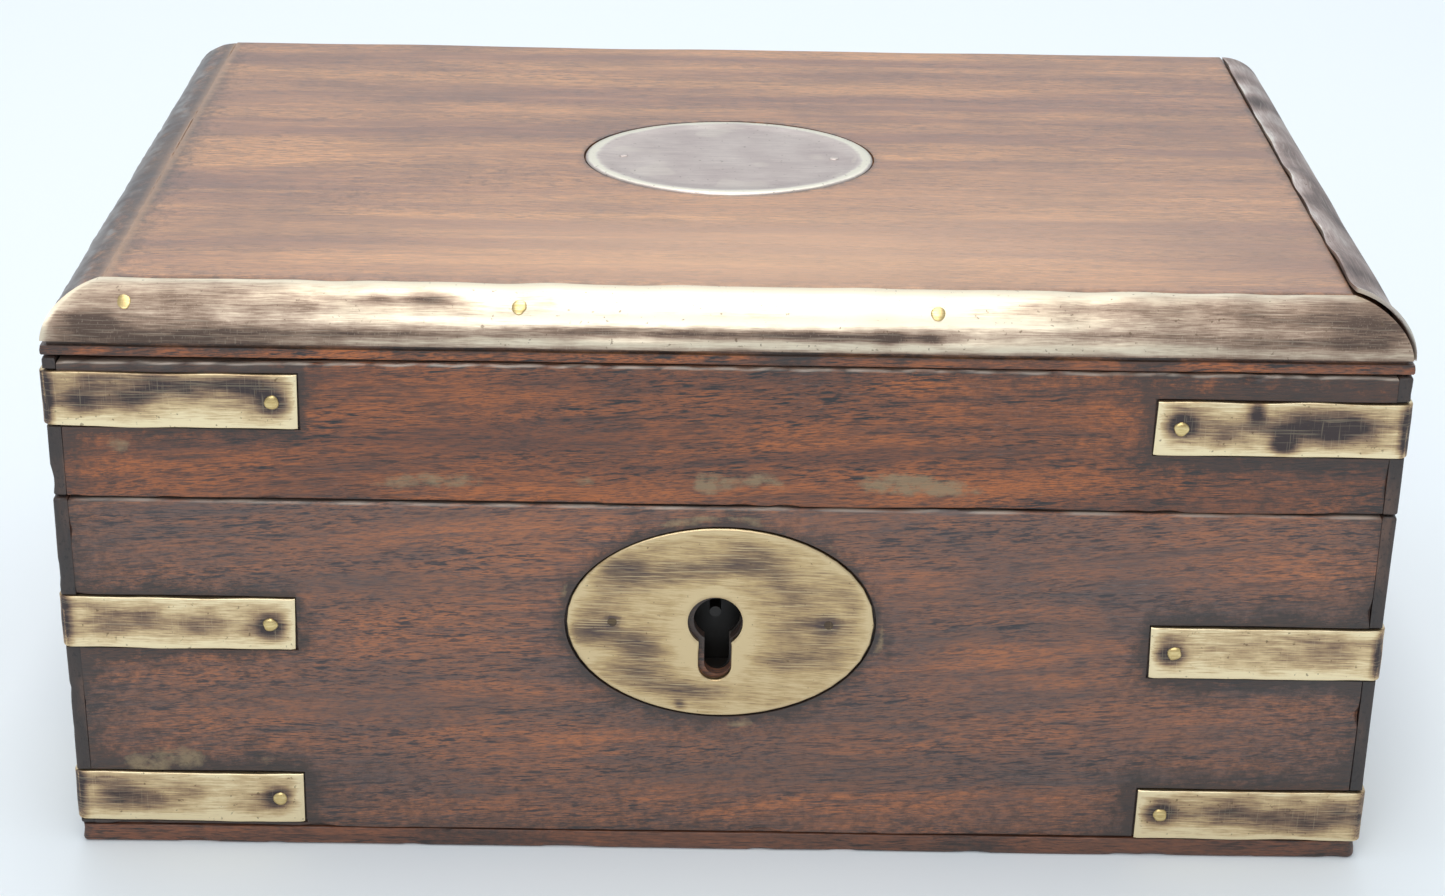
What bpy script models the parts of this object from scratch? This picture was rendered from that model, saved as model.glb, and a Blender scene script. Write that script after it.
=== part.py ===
"""Brass-bound tea caddy: a hinged wooden box with two lidded tea wells and a box lock in its front board.

Metres, +Z up. X runs along the front, the front faces -Y, and the underside lies on Z = 0.
Every piece that comes off on a bench is its own object. Pieces that touch keep GAP between them.
"""

import math

import bmesh
import bpy
from mathutils import Matrix, Vector

# Overall sizes, over the wood
WIDTH = 0.205
DEPTH = 0.135
BASE_HEIGHT = 0.0610
LID_HEIGHT = 0.0326
SEAM = 0.0004  # between the rim of the base and the rim of the lid
GAP = 0.0003  # between any two pieces that touch

# Boards
WALL = 0.0095
BOTTOM_THICKNESS = 0.0032
CORNER_LIP = 0.0022  # what a side board leaves in front of the end of a front or back board
TOP_RADIUS = 0.008  # quarter-round edge on the front and both sides of the top board
TOP_LIP = 0.0016  # plain edge below the quarter round

# Brass sheet
EDGE_STRIP_THICKNESS = 0.0006
EDGE_ARC_STEPS = 8
STRAP_THICKNESS = 0.0009
STRAP_PROUD = 0.0005
STRAP_WIDTH = 0.0088
STRAP_BEND_RADIUS = 0.0016
LID_STRAP_LEG = 0.038
BASE_STRAP_LEG = 0.036
STRAP_PIN_INSET = 0.0038  # pin centre from the end of a leg
# Where each strap's middle comes, left side and right side
LID_STRAP_SHARES = (0.713, 0.617)  # of the height of the lid's rails, from their rim
UPPER_STRAP_SHARES = (0.656, 0.610)  # of the height of the base
LOWER_STRAP_HEIGHTS = (0.0088, 0.0080)
PLATE_THICKNESS = 0.001
PLATE_PROUD = 0.0002

# Brass pins
PIN_RADIUS = 0.001
STRAP_PIN_LENGTH = 0.0065
PIN_PROUD = 0.0003
PIN_SIDES = 12
EDGE_PIN_SPOTS = (-0.0900, -0.0312, 0.0312)
EDGE_PIN_TILT = 50  # degrees from straight ahead, up around the quarter round

# Oval plates
ESCUTCHEON_AXES = (0.0239, 0.0163)
ESCUTCHEON_CENTRE = (-0.0005, BASE_HEIGHT - 0.0198)  # X, Z
ESCUTCHEON_PIN_REACH = 0.0168
PLAQUE_AXES = (0.0244, 0.0195)
PLAQUE_CENTRE = (0.0, 0.0024)  # X, Y
PLAQUE_PIN_REACH = 0.0179
OVAL_SIDES = 48

# Keyhole
KEYHOLE_CENTRE = (-0.0013, BASE_HEIGHT - 0.0197)  # X, Z
KEYHOLE_RADIUS = 0.0043
KEYHOLE_SLOT_HALF = 0.00255
KEYHOLE_DROP = 0.0101  # centre to the bottom of the slot
KEYHOLE_SHRINK = 0.0003  # the hole in the wood and in the lock is this much smaller all round

# Hinges
HINGE_SPOTS = (-0.060, 0.060)
HINGE_LENGTH = 0.036
HINGE_INSET = 0.0030  # axis, in from the back face
KNUCKLE_RADIUS = 0.0019
HINGE_PIN_RADIUS = 0.00075
HINGE_PIN_CLEARANCE = 0.0001
LEAF_THICKNESS = 0.0011
LEAF_REACH = 0.0056  # axis to the inner edge of a leaf
STOP_BEVEL = 50  # degrees; the lid stops when the two back bevels meet, at twice this
STOP_CLEARANCE = 0.00015
KNUCKLE_SIDES = 24

# Lock
LOCK_PLATE = 0.0012
LOCK_WIDTH = 0.048
LOCK_HEIGHT = 0.0325
LOCK_DEPTH = 0.65 * WALL  # front of the case to the back of the plate
CASE_WALL = 0.0008
CASE_INSET = 0.003  # the case is this much narrower than its plate at each end
BOLT_BAR = (0.0064, 0.0007)  # height, and the gap under the staples
BOLT_TRAVEL = 0.0045
NOSE = (0.0046, 0.0020)  # length, height
RISER_WIDTH = 0.003
STUMP_RADIUS = 0.001
TALON = (0.0044, 0.0032)  # width, depth of the notch that the key turns in
STAPLE_CLEARANCE = 0.0005
STAPLE = (0.0016, LOCK_DEPTH - LOCK_PLATE - CASE_WALL - 2 * STAPLE_CLEARANCE, 0.0066)  # X, Y, Z
STAPLE_WIRE = 0.25 * STAPLE[1]
BOLT_THICKNESS = 0.375 * STAPLE[1]
LINK_PLATE = (0.040, 0.0062, 0.0012)  # X, Y, Z
KEY_PIN_RADIUS = 0.0009
SPRING_THICKNESS = 0.0004

# Inside
PARTITION_THICKNESS = 0.008
PARTITION_TONGUE = 0.0028  # what stands between the two inner lids
HOUSING_DEPTH = 0.002
INNER_LID_THICKNESS = 0.004
INNER_LID_DROP = 0.0058  # rim of the base to the top of the inner lids
INNER_LID_CLEARANCE = 0.0005
SLIP_SIZE = (0.0035, 0.004)
KNOB_SPIGOT_RADIUS = 0.0015
KNOB_HEIGHT = 0.0095
KNOB_RADIUS = 0.0043
KNOB_SIDES = 20

# Levels and faces that follow
LEFT, RIGHT = -WIDTH / 2, WIDTH / 2
FRONT, BACK = -DEPTH / 2, DEPTH / 2
LID_RIM = BASE_HEIGHT + SEAM
LID_TOP = LID_RIM + LID_HEIGHT
TOP_BOARD_UNDER = LID_TOP - TOP_RADIUS - TOP_LIP
RAIL_TOP = TOP_BOARD_UNDER - GAP
CARCASS_UNDER = BOTTOM_THICKNESS + GAP
HINGE_AXIS = Vector((0, BACK - HINGE_INSET, BASE_HEIGHT + SEAM / 2))
INNER_FRONT = FRONT + WALL
PLATE_PIN_LENGTH = WALL - LOCK_DEPTH - 3 * GAP  # short, as the lock lies just behind the escutcheon
UPPER_STRAP_HEIGHTS = [share * BASE_HEIGHT for share in UPPER_STRAP_SHARES]
LID_STRAP_HEIGHTS = [LID_RIM + share * (RAIL_TOP - LID_RIM) for share in LID_STRAP_SHARES]
FAR = 0.02  # how far a cutter runs past the piece it cuts


# ---------------------------------------------------------------- scene and materials


def clear_scene():
    for obj in list(bpy.data.objects):
        bpy.data.objects.remove(obj)


def finish(name, colour, roughness, metallic=0.0):
    material = bpy.data.materials.new(name)
    material.use_nodes = True
    shader = material.node_tree.nodes["Principled BSDF"]
    shader.inputs["Base Color"].default_value = (*colour, 1)
    shader.inputs["Roughness"].default_value = roughness
    shader.inputs["Metallic"].default_value = metallic
    return material


def group_at(name, spot):
    """An empty on a joint's axis, for the pieces that move together."""
    empty = bpy.data.objects.new(name, None)
    empty.location = spot
    bpy.context.scene.collection.objects.link(empty)
    return empty


def pattern(shape, material):
    """The mesh of a bmesh, shaded smooth over its gentle bends, for one piece or for several alike."""
    mesh = bpy.data.meshes.new("pattern")
    bmesh.ops.recalc_face_normals(shape, faces=shape.faces)
    shape.to_mesh(mesh)
    shape.free()
    mesh.materials.append(material)
    mesh.shade_smooth()
    mesh.set_sharp_from_angle(angle=math.radians(35))
    return mesh


def node(name, shape, material, origin=(0, 0, 0), group=None):
    """A piece from a bmesh drawn in place. Its own origin goes to `origin`."""
    bmesh.ops.translate(shape, vec=-Vector(origin), verts=shape.verts)
    copy(name, pattern(shape, material), origin, group=group)


def copy(name, mesh, spot, turn=None, group=None):
    """An object that may share its mesh with others."""
    obj = bpy.data.objects.new(name, mesh)
    bpy.context.scene.collection.objects.link(obj)
    obj.parent = group
    obj.location = Vector(spot) - (group.location if group else Vector())
    if turn:
        obj.rotation_euler = turn
    return obj


# ---------------------------------------------------------------- shapes


def prism(outline, along):
    """A flat outline of 3-D points, pushed along a vector."""
    shape = bmesh.new()
    face = shape.faces.new([shape.verts.new(point) for point in outline])
    pushed = bmesh.ops.extrude_face_region(shape, geom=[face])["geom"]
    moved = [part for part in pushed if isinstance(part, bmesh.types.BMVert)]
    bmesh.ops.translate(shape, vec=along, verts=moved)
    bmesh.ops.recalc_face_normals(shape, faces=shape.faces)
    return shape


def block(low, high):
    x0, y0, z0 = low
    x1, y1, z1 = high
    return prism([(x0, y0, z0), (x1, y0, z0), (x1, y1, z0), (x0, y1, z0)], Vector((0, 0, z1 - z0)))


def arc(centre, radii, start, end, steps):
    """Points on an ellipse about centre, from one angle to another in degrees, both ends included."""
    angles = [math.radians(start + (end - start) * i / steps) for i in range(steps + 1)]
    return [(centre[0] + radii[0] * math.cos(a), centre[1] + radii[1] * math.sin(a)) for a in angles]


def oval(centre, radii, sides):
    return arc(centre, radii, 0, 360, sides)[:-1]


def facing_front(points, y):
    return [(x, y, z) for x, z in points]


def facing_side(points, x):
    return [(x, y, z) for y, z in points]


def facing_up(points, z):
    return [(x, y, z) for x, y in points]


def rod_along_x(x0, x1, centre, radius, sides):
    return prism(facing_side(oval(centre, (radius, radius), sides), x0), Vector((x1 - x0, 0, 0)))


def rod_along_y(y0, y1, centre, radius, sides):
    return prism(facing_front(oval(centre, (radius, radius), sides), y0), Vector((0, y1 - y0, 0)))


def rod_along_z(z0, z1, centre, radius, sides):
    return prism(facing_up(oval(centre, (radius, radius), sides), z0), Vector((0, 0, z1 - z0)))


def together(*shapes):
    """Several shapes that stay clear of each other, as one cutter."""
    whole = bmesh.new()
    for shape in shapes:
        mesh = bpy.data.meshes.new("part_of_cutter")
        shape.to_mesh(mesh)
        shape.free()
        whole.from_mesh(mesh)
        bpy.data.meshes.remove(mesh)
    return whole


def boolean(operation, body, others):
    """The body after one Boolean with each of the other shapes, as a new bmesh."""
    made = []
    for shape in (body, *others):
        mesh = bpy.data.meshes.new("boolean")
        shape.to_mesh(mesh)
        shape.free()
        made.append(copy("boolean", mesh, (0, 0, 0)))
    target, tools = made[0], made[1:]
    for tool in tools:
        modifier = target.modifiers.new("boolean", "BOOLEAN")
        modifier.operation = operation
        modifier.solver = "EXACT"
        modifier.object = tool
    result = bmesh.new()
    result.from_object(target, bpy.context.evaluated_depsgraph_get())
    for obj in made:
        mesh = obj.data
        bpy.data.objects.remove(obj)
        bpy.data.meshes.remove(mesh)
    return result


def cut(body, *tools):
    return boolean("DIFFERENCE", body, tools)


def join(body, *others):
    return boolean("UNION", body, others)


# ---------------------------------------------------------------- straps and pins


CORNERS = (  # name, X, Y, turn about Z of a strap drawn for the back right corner, side index
    ("front_left", LEFT, FRONT, 180, 0),
    ("front_right", RIGHT, FRONT, 270, 1),
    ("back_left", LEFT, BACK, 90, 0),
    ("back_right", RIGHT, BACK, 0, 1),
)
STRAP_SETS = (  # name, leg, heights, is it on the lid
    ("lid_strap", LID_STRAP_LEG, LID_STRAP_HEIGHTS, True),
    ("base_upper_strap", BASE_STRAP_LEG, UPPER_STRAP_HEIGHTS, False),
    ("base_lower_strap", BASE_STRAP_LEG, LOWER_STRAP_HEIGHTS, False),
)


def bent_sheet(leg, outer, inner, radius, width):
    """An L of sheet round a corner at the origin, with the wood at -X and -Y of it."""
    bend = (outer - radius, outer - radius)
    inner_radius = max(radius - (outer - inner), 0.0002)
    inner_bend = (inner - inner_radius, inner - inner_radius)
    outline = [(-leg, outer)]
    outline += arc(bend, (radius, radius), 90, 0, 5)
    outline += [(outer, -leg), (inner, -leg)]
    outline += arc(inner_bend, (inner_radius, inner_radius), 0, 90, 5)
    outline += [(-leg, inner)]
    return prism(facing_up(outline, -width / 2), Vector((0, 0, width)))


def strap_shape(leg):
    """One strap with a pin hole near the end of each leg."""
    sheet = bent_sheet(leg, STRAP_PROUD, STRAP_PROUD - STRAP_THICKNESS, STRAP_BEND_RADIUS, STRAP_WIDTH)
    hole = PIN_RADIUS + GAP
    spot = STRAP_PIN_INSET - leg
    return cut(
        sheet,
        rod_along_y(-FAR / 4, FAR / 4, (spot, 0), hole, PIN_SIDES),
        rod_along_x(-FAR / 4, FAR / 4, (spot, 0), hole, PIN_SIDES),
    )


def strap_pockets(on_lid):
    """What the straps of the lid or of the base need cut out of the boards."""
    pockets = []
    for _, leg, heights, lid_set in STRAP_SETS:
        if lid_set != on_lid:
            continue
        for _, x, y, turn, side in CORNERS:
            floor = STRAP_PROUD - STRAP_THICKNESS - GAP
            pocket = bent_sheet(leg + GAP, FAR / 4, floor, STRAP_BEND_RADIUS, STRAP_WIDTH + 2 * GAP)
            pose = Matrix.Translation((x, y, heights[side])) @ Matrix.Rotation(math.radians(turn), 4, "Z")
            bmesh.ops.transform(pocket, matrix=pose, verts=pocket.verts)
            pockets.append(pocket)
    return together(*pockets)


def strap_pin_spots(on_lid):
    """(name, X, Y, Z, outward direction) of each strap pin."""
    spots = []
    for strap, leg, heights, lid_set in STRAP_SETS:
        if lid_set != on_lid:
            continue
        for corner, x, y, _, side in CORNERS:
            out_x, out_y = math.copysign(1, x), math.copysign(1, y)
            reach = leg - STRAP_PIN_INSET
            name = f"{strap}_pin_{corner}"
            spots.append((name, (x - out_x * reach, y, heights[side]), (0, out_y, 0)))
            spots.append((name + "_side", (x, y - out_y * reach, heights[side]), (out_x, 0, 0)))
    return spots


def pin_shape(length):
    """A pin drawn along Z with its slightly domed head at +Z and the face it is driven into at Z = 0."""
    shape = rod_along_z(-length, 0, (0, 0), PIN_RADIUS, PIN_SIDES)
    head = [face for face in shape.faces if face.calc_center_median().z > -GAP]
    bmesh.ops.inset_region(shape, faces=head, thickness=PIN_RADIUS * 0.4)
    bmesh.ops.translate(shape, vec=(0, 0, PIN_PROUD), verts=list({v for face in head for v in face.verts}))
    return shape


def drilled(spots, length):
    """Blind holes for pins at these spots, as one cutter."""
    holes = []
    for _, spot, out in spots:
        hole = rod_along_z(-length - GAP, FAR / 4, (0, 0), PIN_RADIUS + GAP, PIN_SIDES)
        pose = Matrix.Translation(spot) @ Vector(out).to_track_quat("Z", "Y").to_matrix().to_4x4()
        bmesh.ops.transform(hole, matrix=pose, verts=hole.verts)
        holes.append(hole)
    return together(*holes)


def drive_pin(name, mesh, spot, out, proud, group):
    """Puts one pin at a spot, its head standing proud of the brass there."""
    turn = Vector(out).to_track_quat("Z", "Y").to_euler()
    copy(name, mesh, Vector(spot) + Vector(out) * proud, turn, group)


def add_straps(brass, lid):
    for strap, leg, heights, on_lid in STRAP_SETS:
        group = lid if on_lid else None
        mesh = pattern(strap_shape(leg), brass)
        for corner, x, y, turn, side in CORNERS:
            spot = (x, y, heights[side])
            copy(f"{strap}_{corner}", mesh, spot, (0, 0, math.radians(turn)), group)


def add_pins(brass, lid):
    """The pins that the front and the top show. The straps' other pins are the same and left out here."""
    long_pin = pattern(pin_shape(STRAP_PIN_LENGTH), brass)
    short_pin = pattern(pin_shape(PLATE_PIN_LENGTH), brass)
    for on_lid, group in ((True, lid), (False, None)):
        for name, spot, out in strap_pin_spots(on_lid):
            if out == (0, -1, 0):
                drive_pin(name, long_pin, spot, out, STRAP_PROUD, group)
    for name, spot, out in escutcheon_pin_spots():
        drive_pin(name, short_pin, spot, out, PLATE_PROUD, None)
    for name, spot, out in plaque_pin_spots():
        drive_pin(name, short_pin, spot, out, PLATE_PROUD, lid)
    for name, spot, out in edge_pin_spots():
        drive_pin(name, short_pin, spot, out, 0, lid)


# ---------------------------------------------------------------- boards


def side_board_outline(outer, inner, lip):
    """Plan of a side board, (x, y): rebated at both ends for the front and the back board."""
    shoulder = DEPTH / 2 - WALL - GAP
    return [
        (outer, -DEPTH / 2),
        (lip, -DEPTH / 2),
        (lip, -shoulder),
        (inner, -shoulder),
        (inner, shoulder),
        (lip, shoulder),
        (lip, DEPTH / 2),
        (outer, DEPTH / 2),
    ]


def carcass(low, high):
    """Front, back, left and right boards of one half of the box, as bmeshes."""
    up = Vector((0, 0, high - low))
    end = WIDTH / 2 - CORNER_LIP - GAP
    front = block((-end, FRONT, low), (end, FRONT + WALL, high))
    back = block((-end, BACK - WALL, low), (end, BACK, high))
    left = prism(facing_up(side_board_outline(LEFT, LEFT + WALL, LEFT + CORNER_LIP), low), up)
    right = prism(facing_up(side_board_outline(RIGHT, RIGHT - WALL, RIGHT - CORNER_LIP), low), up)
    return front, back, left, right


def stop_bevel(direction):
    """Cutter for the back edge at the seam. Direction is 1 on the lid and -1 on the base."""
    y, z = HINGE_AXIS.y, HINGE_AXIS.z
    slope = math.tan(math.radians(STOP_BEVEL))
    set_back = STOP_CLEARANCE / math.cos(math.radians(STOP_BEVEL))
    outline = [
        (y, z - direction * FAR / 4),
        (y, z + direction * set_back),
        (y + FAR, z + direction * (set_back + FAR * slope)),
        (y + FAR, z - direction * FAR / 4),
    ]
    return prism(facing_side(outline, LEFT - FAR), Vector((WIDTH + 2 * FAR, 0, 0)))


def hinge_pockets(direction):
    """Cutters for both hinges: where a leaf is let in, and round the knuckles."""
    y, z = HINGE_AXIS.y, HINGE_AXIS.z
    half = HINGE_LENGTH / 2 + GAP
    leaves, barrels = [], []
    for x in HINGE_SPOTS:
        floor = z + direction * (SEAM / 2 + LEAF_THICKNESS + GAP)
        mouth = z - direction * FAR / 4
        low, high = min(floor, mouth), max(floor, mouth)
        leaves.append(block((x - half, y - LEAF_REACH - GAP, low), (x + half, y, high)))
        barrels.append(rod_along_x(x - half, x + half, (y, z), KNUCKLE_RADIUS + 1.5 * GAP, KNUCKLE_SIDES))
    return together(*leaves), together(*barrels)


def add_base_boards(wood):
    front, back, left, right = carcass(CARCASS_UNDER, BASE_HEIGHT)
    pin_spots = strap_pin_spots(False)
    front = cut(
        front,
        strap_pockets(False),
        drilled(pin_spots, STRAP_PIN_LENGTH),
        oval_recess_front(),
        keyhole_cutter(KEYHOLE_SHRINK, FRONT - FAR, INNER_FRONT + FAR),
        lock_pocket(),
        drilled(escutcheon_pin_spots(), PLATE_PIN_LENGTH),
        housing_front(),
    )
    back = cut(
        back, strap_pockets(False), drilled(pin_spots, STRAP_PIN_LENGTH), stop_bevel(-1), *hinge_pockets(-1), housing_back()
    )
    left = cut(left, strap_pockets(False), drilled(pin_spots, STRAP_PIN_LENGTH), stop_bevel(-1))
    right = cut(right, strap_pockets(False), drilled(pin_spots, STRAP_PIN_LENGTH), stop_bevel(-1))
    middle = (CARCASS_UNDER + BASE_HEIGHT) / 2
    node("base_front_board", front, wood, (0, FRONT, middle))
    node("base_back_board", back, wood, (0, BACK, middle))
    node("base_left_board", left, wood, (LEFT, 0, middle))
    node("base_right_board", right, wood, (RIGHT, 0, middle))
    node("bottom_board", block((LEFT, FRONT, 0), (RIGHT, BACK, BOTTOM_THICKNESS)), wood)


def add_lid_boards(wood, lid):
    front, back, left, right = carcass(LID_RIM, RAIL_TOP)
    pin_spots = strap_pin_spots(True)
    front = cut(front, strap_pockets(True), drilled(pin_spots, STRAP_PIN_LENGTH), link_plate_pocket())
    back = cut(back, strap_pockets(True), drilled(pin_spots, STRAP_PIN_LENGTH), stop_bevel(1), *hinge_pockets(1))
    left = cut(left, strap_pockets(True), drilled(pin_spots, STRAP_PIN_LENGTH), stop_bevel(1))
    right = cut(right, strap_pockets(True), drilled(pin_spots, STRAP_PIN_LENGTH), stop_bevel(1))
    middle = (LID_RIM + RAIL_TOP) / 2
    node("lid_front_rail", front, wood, (0, FRONT, middle), lid)
    node("lid_back_rail", back, wood, (0, BACK, middle), lid)
    node("lid_left_rail", left, wood, (LEFT, 0, middle), lid)
    node("lid_right_rail", right, wood, (RIGHT, 0, middle), lid)


def top_board_shape():
    """The top board as rings, each a rectangle drawn in from the front and both sides but not the back."""
    round_radius = TOP_RADIUS - EDGE_STRIP_THICKNESS - GAP
    centre = (TOP_RADIUS, TOP_BOARD_UNDER + TOP_LIP)
    profile = [(0, TOP_BOARD_UNDER), (0, TOP_BOARD_UNDER + TOP_LIP)]
    profile += arc(centre, (round_radius, round_radius), 180, 90, EDGE_ARC_STEPS)
    profile += [(TOP_RADIUS + GAP, centre[1] + round_radius), (TOP_RADIUS + GAP, LID_TOP)]
    shape = bmesh.new()
    rings = []
    for inset, z in profile:
        corners = (
            (LEFT + inset, BACK, z),
            (LEFT + inset, FRONT + inset, z),
            (RIGHT - inset, FRONT + inset, z),
            (RIGHT - inset, BACK, z),
        )
        rings.append([shape.verts.new(corner) for corner in corners])
    for lower, upper in zip(rings, rings[1:]):
        for i in range(3):
            shape.faces.new((lower[i], lower[i + 1], upper[i + 1], upper[i]))
    shape.faces.new(rings[0])
    shape.faces.new(rings[-1])
    shape.faces.new([ring[0] for ring in rings] + [ring[3] for ring in reversed(rings)])
    return shape


def add_top_board(wood, lid):
    shape = cut(
        top_board_shape(), oval_recess_top(), drilled(plaque_pin_spots(), PLATE_PIN_LENGTH), drilled(edge_pin_spots(), PLATE_PIN_LENGTH)
    )
    node("lid_top_board", shape, wood, (0, 0, TOP_BOARD_UNDER), lid)


# ---------------------------------------------------------------- edge strips


def edge_strip_profile():
    """(inset, z) round the sheet: the outer arc up, then the inner arc down."""
    centre = (TOP_RADIUS, TOP_BOARD_UNDER + TOP_LIP)
    inner = TOP_RADIUS - EDGE_STRIP_THICKNESS
    start = 180 - math.degrees(math.asin(GAP / inner))  # keeps GAP above the plain edge
    outer_arc = arc(centre, (TOP_RADIUS, TOP_RADIUS), start, 90, EDGE_ARC_STEPS)
    return outer_arc + arc(centre, (inner, inner), 90, start, EDGE_ARC_STEPS)


def swept(start_points, end_points):
    """Joins two outlines with as many points each."""
    shape = bmesh.new()
    first = [shape.verts.new(point) for point in start_points]
    last = [shape.verts.new(point) for point in end_points]
    for i in range(len(first)):
        j = (i + 1) % len(first)
        shape.faces.new((first[i], first[j], last[j], last[i]))
    shape.faces.new(first)
    shape.faces.new(last)
    bmesh.ops.recalc_face_normals(shape, faces=shape.faces)
    return shape


def add_edge_strips(brass, lid):
    """Mitred where they meet at the front right corner. The left edge has none."""
    profile = edge_strip_profile()
    front = swept(
        [(LEFT + inset, FRONT + inset, z) for inset, z in profile],
        [(RIGHT - inset - GAP, FRONT + inset, z) for inset, z in profile],
    )
    right = swept(
        [(RIGHT - inset, FRONT + inset + GAP, z) for inset, z in profile],
        [(RIGHT - inset, BACK, z) for inset, z in profile],
    )
    front = cut(front, drilled(edge_pin_spots(), PLATE_PIN_LENGTH))
    node("front_edge_strip", front, brass, (0, FRONT, LID_TOP), lid)
    node("right_edge_strip", right, brass, (RIGHT, 0, LID_TOP), lid)


def edge_pin_spots():
    tilt = math.radians(EDGE_PIN_TILT)
    out = (0, -math.cos(tilt), math.sin(tilt))
    y = FRONT + TOP_RADIUS + TOP_RADIUS * out[1]
    z = LID_TOP - TOP_RADIUS + TOP_RADIUS * out[2]
    return [(f"front_edge_strip_pin_{i}", (x, y, z), out) for i, x in enumerate(EDGE_PIN_SPOTS, 1)]


# ---------------------------------------------------------------- oval plates and keyhole


def keyhole_cutter(shrink, y0, y1):
    """A round hole with a slot hanging from it, pushed along Y."""
    x, z = KEYHOLE_CENTRE
    radius = KEYHOLE_RADIUS - shrink
    half = KEYHOLE_SLOT_HALF - shrink
    meet = math.degrees(math.asin(half / radius))
    outline = arc((x, z), (radius, radius), -90 + meet, 270 - meet, 24)
    foot = z - KEYHOLE_DROP + shrink + half
    outline += arc((x, foot), (half, half), 180, 360, 10)
    return prism(facing_front(outline, y0), Vector((0, y1 - y0, 0)))


def escutcheon_pin_spots():
    x, z = ESCUTCHEON_CENTRE
    reach = ESCUTCHEON_PIN_REACH
    spots = (("left", x - reach), ("right", x + reach))
    return [(f"escutcheon_pin_{side}", (at, FRONT, z), (0, -1, 0)) for side, at in spots]


def plaque_pin_spots():
    x, y = PLAQUE_CENTRE
    reach = PLAQUE_PIN_REACH
    spots = (("left", x - reach), ("right", x + reach))
    return [(f"lid_plaque_pin_{side}", (at, y, LID_TOP), (0, 0, 1)) for side, at in spots]


def oval_recess_front():
    """Where the escutcheon is let into the front board."""
    radii = [axis + GAP for axis in ESCUTCHEON_AXES]
    floor = FRONT - PLATE_PROUD + PLATE_THICKNESS + GAP
    outline = facing_front(oval(ESCUTCHEON_CENTRE, radii, OVAL_SIDES), FRONT - FAR)
    return prism(outline, Vector((0, floor - FRONT + FAR, 0)))


def oval_recess_top():
    """Where the plaque is let into the top board."""
    radii = [axis + GAP for axis in PLAQUE_AXES]
    floor = LID_TOP + PLATE_PROUD - PLATE_THICKNESS - GAP
    outline = facing_up(oval(PLAQUE_CENTRE, radii, OVAL_SIDES), LID_TOP + FAR)
    return prism(outline, Vector((0, 0, floor - LID_TOP - FAR)))


def add_oval_plates(brass, lid):
    face = FRONT - PLATE_PROUD
    outline = facing_front(oval(ESCUTCHEON_CENTRE, ESCUTCHEON_AXES, OVAL_SIDES), face)
    escutcheon = cut(
        prism(outline, Vector((0, PLATE_THICKNESS, 0))),
        keyhole_cutter(0, FRONT - FAR, INNER_FRONT),
        drilled(escutcheon_pin_spots(), PLATE_PIN_LENGTH),
    )
    node("escutcheon", escutcheon, brass, (ESCUTCHEON_CENTRE[0], face, ESCUTCHEON_CENTRE[1]))
    outline = facing_up(oval(PLAQUE_CENTRE, PLAQUE_AXES, OVAL_SIDES), LID_TOP + PLATE_PROUD)
    plaque = cut(prism(outline, Vector((0, 0, -PLATE_THICKNESS))), drilled(plaque_pin_spots(), PLATE_PIN_LENGTH))
    node("lid_plaque", plaque, brass, (*PLAQUE_CENTRE, LID_TOP), lid)


# ---------------------------------------------------------------- hinges


def leaf_shape(direction, knuckles):
    """One leaf with its knuckles. Direction is 1 for the lid's leaf; knuckles are (start, end) along X."""
    y, z = 0.0, 0.0
    face, floor = direction * SEAM / 2, direction * (SEAM / 2 + LEAF_THICKNESS)
    near = 180 - direction * math.degrees(math.asin(SEAM / 2 / KNUCKLE_RADIUS))
    far = 180 - direction * math.degrees(math.asin((SEAM / 2 + LEAF_THICKNESS) / KNUCKLE_RADIUS))
    outline = [(y - LEAF_REACH, z + floor), (y - LEAF_REACH, z + face)]
    outline += arc((y, z), (KNUCKLE_RADIUS, KNUCKLE_RADIUS), near, far + direction * 360, KNUCKLE_SIDES)
    half = HINGE_LENGTH / 2
    shape = prism(facing_side(outline, -half), Vector((HINGE_LENGTH, 0, 0)))
    edge = -KNUCKLE_RADIUS - GAP
    notches = [
        block((x0 - GAP, edge, -FAR / 4), (x1 + GAP, FAR / 4, FAR / 4))
        for x0, x1 in knuckles
    ]
    bore = rod_along_x(-FAR - half, half + FAR, (y, z), HINGE_PIN_RADIUS + HINGE_PIN_CLEARANCE, KNUCKLE_SIDES)
    return cut(shape, together(*notches), bore)


def add_hinges(brass, lid):
    """Three knuckles each: the outer two belong to the base's leaf, the middle one to the lid's."""
    third = HINGE_LENGTH / 3
    middle = [(-third / 2, third / 2)]
    outer = [(-HINGE_LENGTH, -third / 2), (third / 2, HINGE_LENGTH)]
    half = HINGE_LENGTH / 2
    shapes = {
        "hinge_base_leaf": (leaf_shape(-1, middle), None),
        "hinge_lid_leaf": (leaf_shape(1, outer), lid),
        "hinge_pin": (rod_along_x(-half, half, (0, 0), HINGE_PIN_RADIUS, KNUCKLE_SIDES), None),
    }
    for name, (shape, group) in shapes.items():
        mesh = pattern(shape, brass)
        for side, x in zip(("left", "right"), HINGE_SPOTS):
            copy(f"{name}_{side}", mesh, HINGE_AXIS + Vector((x, 0, 0)), group=group)


# ---------------------------------------------------------------- lock


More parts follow.
